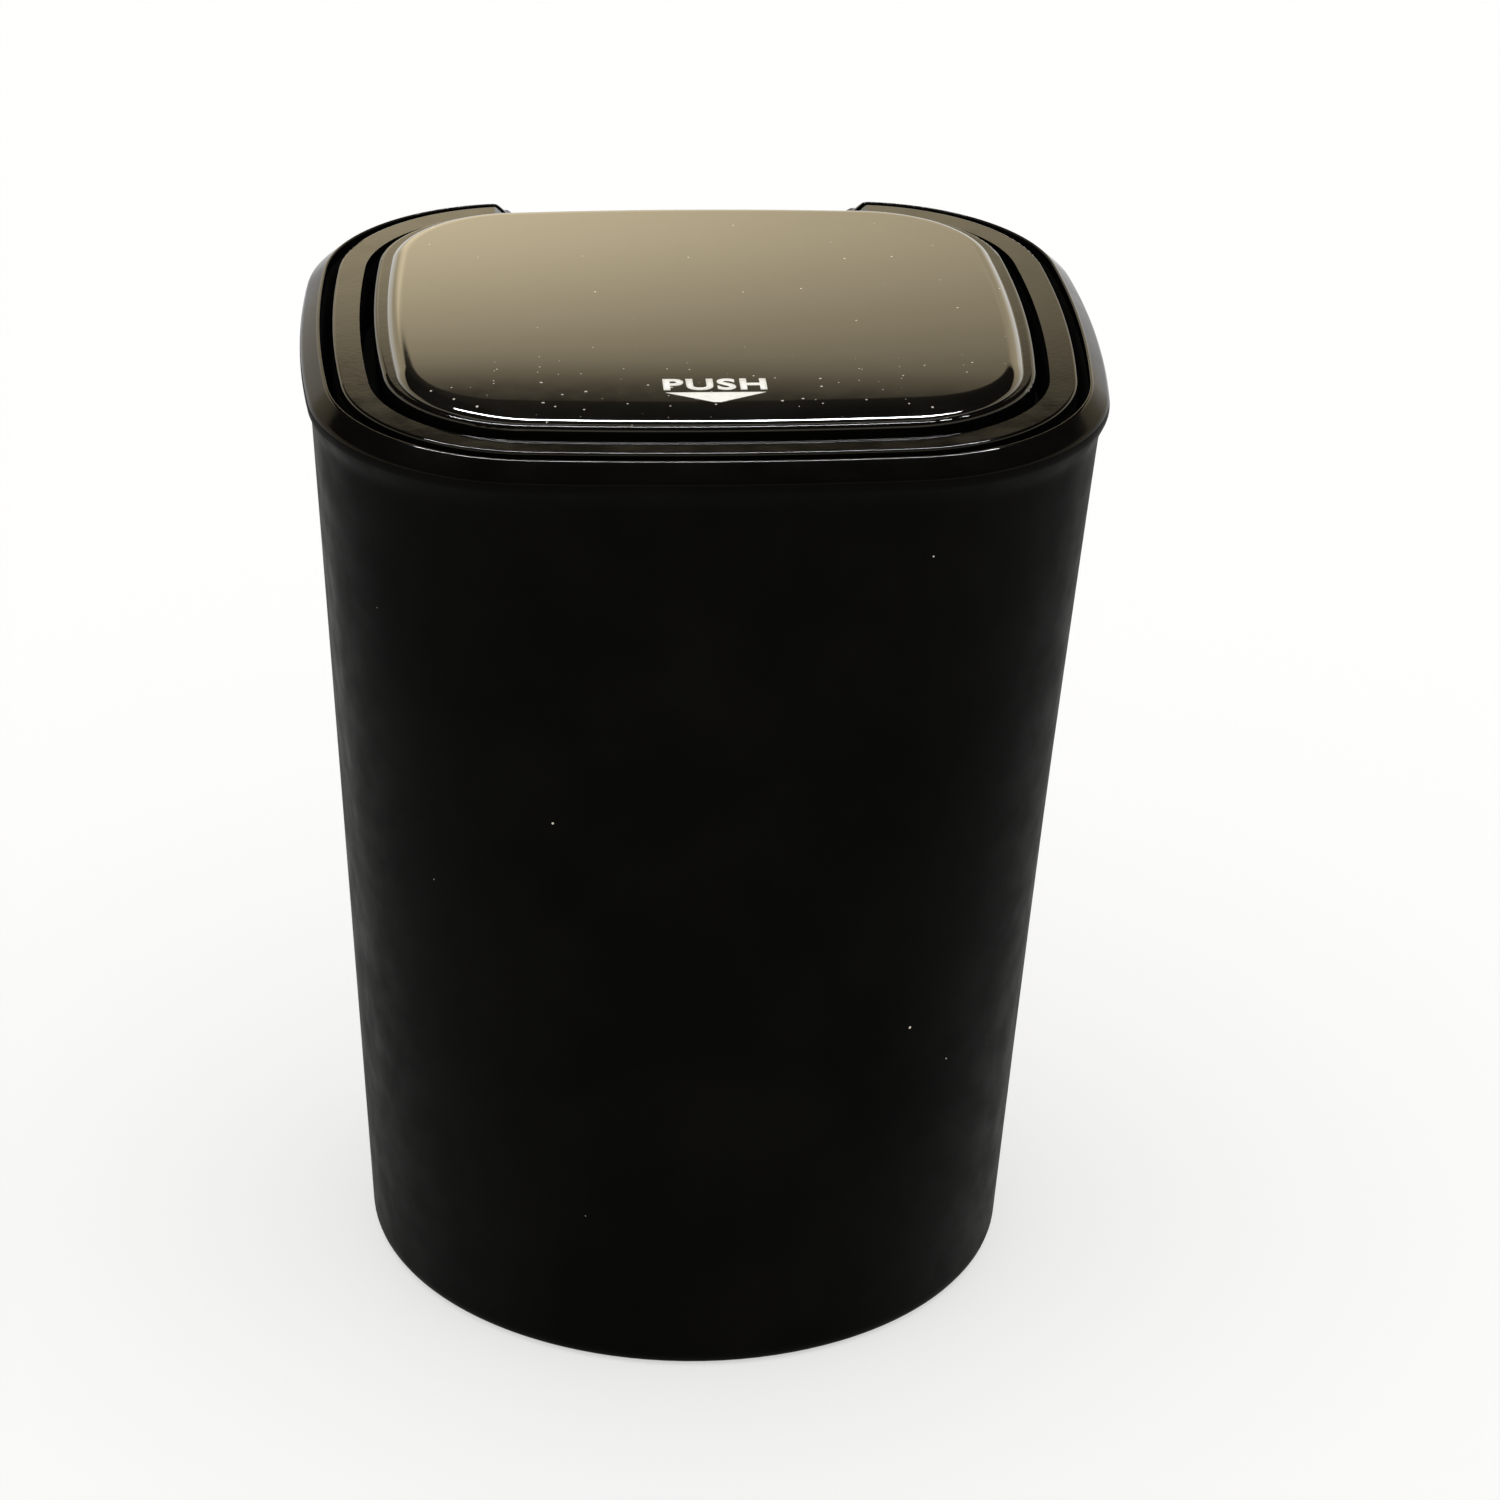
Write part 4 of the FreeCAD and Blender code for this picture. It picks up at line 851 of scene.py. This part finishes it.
class ASHTRAY_OT_legend(bpy.types.Operator):
    """Print the operating word and its arrow at the front of the dome"""
    bl_idname = "ashtray.print_legend"
    bl_label = "Legend"

    def execute(self, context):
        scene = context.scene
        lip, dome, size = scene.ashtray_lip, scene.ashtray_dome, scene.ashtray_legend
        ink = print_film("legend_ink", tuple(scene.ashtray_finishes.print_white))
        lettering = bpy.data.curves.new("push_word_outline", "FONT")
        lettering.body = size.word
        lettering.align_x = "CENTER"
        lettering.offset = LETTER_WEIGHT
        lettering.space_character = LETTER_SPACING
        lettering.resolution_u = LETTER_STEPS
        drawn = bpy.data.objects.new("push_word_outline", lettering)
        scene.collection.objects.link(drawn)
        mesh = bpy.data.meshes.new_from_object(drawn.evaluated_get(context.evaluated_depsgraph_get()))
        bpy.data.objects.remove(drawn)
        points = np.empty(len(mesh.vertices) * 3, np.float32)
        mesh.vertices.foreach_get("co", points)
        points = points.reshape(-1, 3).astype(float)
        low, high = points.min(0), points.max(0)
        points[:, 0] = (points[:, 0] - (low[0] + high[0]) / 2) * size.word_width / (high[0] - low[0])
        points[:, 1] = (points[:, 1] - high[1]) * size.word_height / (high[1] - low[1]) - size.word_rear
        mesh.vertices.foreach_set("co", on_dome(lip, dome, points, size.thickness).astype(np.float32).ravel())
        mesh.name = "push_word"
        mesh.materials.clear()
        mesh.materials.append(ink)
        mesh.update()
        word = bpy.data.objects.new("push_word", mesh)
        scene.collection.objects.link(word)
        flat, quads = self.draw_arrow(size)
        arrow = make_piece(
            "push_arrow", on_dome(lip, dome, flat, size.thickness), quads, NO_TRIANGLES, [ink])
        for piece in (word, arrow):
            film = piece.modifiers.new("film", "SOLIDIFY")
            film.thickness = size.thickness * FILM_DEPTH
            film.offset = -1.0
            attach(piece, "lid")
        return {"FINISHED"}

    def draw_arrow(self, size):
        """Flat points and faces of the arrow: a grid whose half width falls evenly to its blunt tip."""
        across, down = np.meshgrid(np.linspace(-1.0, 1.0, ARROW_COLUMNS), np.linspace(0.0, 1.0, ARROW_ROWS))
        half = size.arrow_width / 2 * (ARROW_TIP + (1 - ARROW_TIP) * (1 - down))
        flat = np.stack([across * half, -size.arrow_rear - size.arrow_depth * down, 0 * down], -1)
        row = np.arange(ARROW_ROWS - 1)[:, None] * ARROW_COLUMNS
        here = row + np.arange(ARROW_COLUMNS - 1)
        below = here + ARROW_COLUMNS
        return flat.reshape(-1, 3), np.stack([here, below, below + 1, here + 1], -1).reshape(-1, 4)


class ASHTRAY_OT_hinge(bpy.types.Operator):
    """Finish the hinge pin and its torsion spring"""
    bl_idname = "ashtray.finish_hinge"
    bl_label = "Hinge"

    def execute(self, context):
        finishes = context.scene.ashtray_finishes
        dress(plated_steel("pin_steel", tuple(finishes.zinc), streaks=(0.05, 1.0, 1.0)), "hinge_pin")
        dress(plated_steel("hinge_wire", tuple(finishes.wire), streaks=(1.0, 1.0, 1.0)), "hinge_spring")
        return {"FINISHED"}


class ASHTRAY_OT_latch(bpy.types.Operator):
    """Finish the push latch's case and slider, and wind the spring under the slider"""
    bl_idname = "ashtray.finish_latch"
    bl_label = "Latch"

    def execute(self, context):
        finishes = context.scene.ashtray_finishes
        case_black = plain_moulding(
            "latch_black", shade(tuple(finishes.black), 5.0), rough=(0.45, 0.6), specular=0.4, grain=2400.0)
        dress(case_black, "latch_case")
        acetal = plain_moulding(
            "slider_acetal", tuple(finishes.acetal), rough=(0.35, 0.5), specular=0.5, grain=2000.0)
        dress(acetal, "latch_slider")
        wire = plated_steel("latch_wire", tuple(finishes.wire), streaks=(1.0, 1.0, 1.0))
        dress(wire, "latch_spring")
        low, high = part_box("latch_spring")
        rows = coil_rows(context.scene.ashtray_spring, low, high)
        coil = make_skin("latch_coil", rows, rows[0].mean(0), rows[-1].mean(0), [wire])
        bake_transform(coil)
        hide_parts("latch_spring")
        return {"FINISHED"}


class ASHTRAY_OT_stage(bpy.types.Operator):
    """Set up the pale floor, the soft studio light and the camera"""
    bl_idname = "ashtray.set_stage"
    bl_label = "Stage"

    def execute(self, context):
        scene = context.scene
        stage = scene.ashtray_stage
        self.lay_floor(stage)
        self.light_world(scene, stage)
        self.add_lamps(scene)
        self.add_camera(scene)
        scene.view_settings.view_transform = "Standard"
        return {"FINISHED"}

    def lay_floor(self, stage):
        """Round floor: rings that grow with the square of their number, closed by a fan in the middle."""
        turn = np.linspace(0.0, 2 * math.pi, FLOOR_COLUMNS, endpoint=False)
        radius = stage.floor_radius * np.linspace(FLOOR_HUB, 1.0, FLOOR_ROWS) ** 2
        plan = radius[::-1, None, None] * np.stack([np.cos(turn), np.sin(turn)], -1)
        rows = at_height(plan, np.zeros(FLOOR_ROWS))
        quads, here, beside = grid_faces(FLOOR_ROWS, FLOOR_COLUMNS)
        inner, middle = (FLOOR_ROWS - 1) * FLOOR_COLUMNS, FLOOR_ROWS * FLOOR_COLUMNS
        fan = np.stack([np.full(FLOOR_COLUMNS, middle), inner + here, inner + beside], -1)
        make = Finish("pale_floor")
        tone = tuple(stage.floor)
        make.feed("Base Color", make.blend(make.spread(make.noise(3.0), 0.0, 1.0), shade(tone, 0.985), tone))
        material = make.fix(Roughness=0.9, Specular_IOR_Level=0.0)
        self.whiten(make, FLOOR_WHITE)
        floor = make_piece(
            "floor", np.concatenate([rows.reshape(-1, 3), [(0.0, 0.0, 0.0)]]), quads, fan, [material])

    def whiten(self, make, share):
        """Mix a share of plain white into what camera, glossy and transmission rays see of a material."""
        rays = make.add("ShaderNodeLightPath").outputs
        mirrored = make.work("MAXIMUM", rays["Is Camera Ray"], rays["Is Glossy Ray"])
        seen = make.work("MAXIMUM", mirrored, rays["Is Transmission Ray"])
        mixed = make.add("ShaderNodeMixShader")
        make.link(make.work("MULTIPLY", seen, share), mixed.inputs["Fac"])
        make.link(make.shader.outputs["BSDF"], mixed.inputs[1])
        make.link(make.add("ShaderNodeEmission").outputs["Emission"], mixed.inputs[2])
        make.link(mixed.outputs["Shader"], make.find("OUTPUT_MATERIAL").inputs["Surface"])

    def light_world(self, scene, stage):
        """Surroundings: cream near the horizon, a warm backdrop up to about 23 degrees, and dim overhead.

        The height of a direction is its Z, spread over the backdrop's upper edge; its turn is atan2(X, Y).
        The backdrop is brightest behind the ashtray, a little to the left, and fades to both sides.
        """
        world = bpy.data.worlds.new("studio")
        scene.world = world
        world.use_nodes = True
        make = Nodes(world.node_tree)
        x, y, z = make.split(make.add("ShaderNodeTexCoord").outputs["Generated"])
        ramp = make.add("ShaderNodeValToRGB")
        make.link(make.spread(z, 0.0, 1.0, *BACKDROP_EDGE), ramp.inputs["Fac"])
        elements = ramp.color_ramp.elements
        while len(elements) < len(BACKDROP_STOPS):
            elements.new(0.5)
        for element, (place, level) in zip(elements, BACKDROP_STOPS):
            element.position = place
            element.color = (*shade(stage.backdrop, level), 1.0)
        aside = make.work("ABSOLUTE", make.work("ADD", make.work("ARCTAN2", x, y), BACKDROP_LEFT))
        fade = make.spread(aside, *BACKDROP_STRENGTHS, 0.0, BACKDROP_FADE, "SMOOTHSTEP")
        above = make.spread(z, 0.0, 1.0, *HORIZON_EDGE)
        background = make.find("BACKGROUND")
        make.link(make.blend(above, stage.horizon, ramp.outputs["Color"]), background.inputs["Color"])
        make.link(make.mix(above, 1.0, fade), background.inputs["Strength"])

    def add_lamps(self, scene):
        """Broad overhead light for the floor and a strip overhead that draws the rounded edges."""
        overhead = bpy.data.lights.new("overhead", "SUN")
        overhead.energy = OVERHEAD_STRENGTH
        overhead.angle = OVERHEAD_SPREAD
        lamp = bpy.data.objects.new("overhead", overhead)
        lamp.location = OVERHEAD_PLACE
        lamp.visible_glossy = False
        scene.collection.objects.link(lamp)
        strip = bpy.data.lights.new("strip", "AREA")
        strip.shape = "RECTANGLE"
        strip.size, strip.size_y = STRIP_SIZE
        strip.energy = STRIP_POWER
        lamp = bpy.data.objects.new("strip", strip)
        lamp.location = STRIP_PLACE
        lamp.rotation_mode = "QUATERNION"
        lamp.rotation_quaternion = (lamp.location - Vector(STRIP_AIM)).to_track_quat("Z", "Y")
        lamp.visible_diffuse = False
        scene.collection.objects.link(lamp)

    def add_camera(self, scene):
        """Camera fitted to the photograph: its angles, roll, distance, focal length and offsets in pixels."""
        azimuth, elevation, roll = (math.radians(angle) for angle in CAMERA_ANGLES)
        away = math.cos(elevation)
        back = Vector((math.sin(azimuth) * away, -math.cos(azimuth) * away, math.sin(elevation)))
        level = Vector((math.cos(azimuth), math.sin(azimuth), 0.0))
        rise = back.cross(level)
        right = math.cos(roll) * level + math.sin(roll) * rise
        up = -math.sin(roll) * level + math.cos(roll) * rise
        place = Vector(CAMERA_AIM) + back * CAMERA_DISTANCE
        metres = CAMERA_DISTANCE / CAMERA_FOCAL
        place -= right * (CAMERA_OFFSET[0] * metres) + up * (CAMERA_OFFSET[1] * metres)
        camera = bpy.data.cameras.new("camera")
        camera.sensor_width = SENSOR_WIDTH
        camera.lens = CAMERA_FOCAL * SENSOR_WIDTH / PHOTO_SIDE
        camera.clip_start, camera.clip_end = CAMERA_CLIP
        view = bpy.data.objects.new("camera", camera)
        turned = Matrix((right, up, back)).transposed().to_4x4()
        turned.translation = place
        view.matrix_world = turned
        scene.collection.objects.link(view)
        scene.camera = view


class ASHTRAY_PT_panel(bpy.types.Panel):
    """Sizes, colours and steps of the ashtray"""
    bl_idname = "ASHTRAY_PT_panel"
    bl_label = "Car ashtray"
    bl_space_type = "VIEW_3D"
    bl_region_type = "UI"
    bl_category = "Ashtray"

    def draw(self, context):
        for group in GROUPS:
            box = self.layout.box()
            sizes = getattr(context.scene, group)
            box.label(text=GROUPS[group].__doc__)
            for key in GROUPS[group].__annotations__:
                box.prop(sizes, key)
        for step in STEPS:
            self.layout.operator(step.bl_idname)


GROUPS = {
    "ashtray_lip": LipSizes,
    "ashtray_bin": BinSizes,
    "ashtray_dome": DomeSizes,
    "ashtray_legend": LegendSizes,
    "ashtray_spring": SpringSizes,
    "ashtray_finishes": Finishes,
    "ashtray_stage": StageSizes,
}
STEPS = (
    ASHTRAY_OT_bin, ASHTRAY_OT_head, ASHTRAY_OT_lid, ASHTRAY_OT_dome, ASHTRAY_OT_legend,
    ASHTRAY_OT_hinge, ASHTRAY_OT_latch, ASHTRAY_OT_stage,
)


def register():
    """Register the classes and hang the sizes on the scene."""
    for cls in (*GROUPS.values(), *STEPS, ASHTRAY_PT_panel):
        bpy.utils.register_class(cls)
    for name, group in GROUPS.items():
        setattr(bpy.types.Scene, name, PointerProperty(type=group))


def unregister():
    """Take the sizes and classes away again."""
    for name in GROUPS:
        delattr(bpy.types.Scene, name)
    for cls in (ASHTRAY_PT_panel, *reversed(STEPS), *GROUPS.values()):
        bpy.utils.unregister_class(cls)


def main():
    """Register and run every step in order."""
    register()
    bpy.ops.ashtray.make_bin()
    bpy.ops.ashtray.finish_head()
    bpy.ops.ashtray.finish_lid()
    bpy.ops.ashtray.make_dome()
    bpy.ops.ashtray.print_legend()
    bpy.ops.ashtray.finish_hinge()
    bpy.ops.ashtray.finish_latch()
    bpy.ops.ashtray.set_stage()


if __name__ == "__main__":
    main()
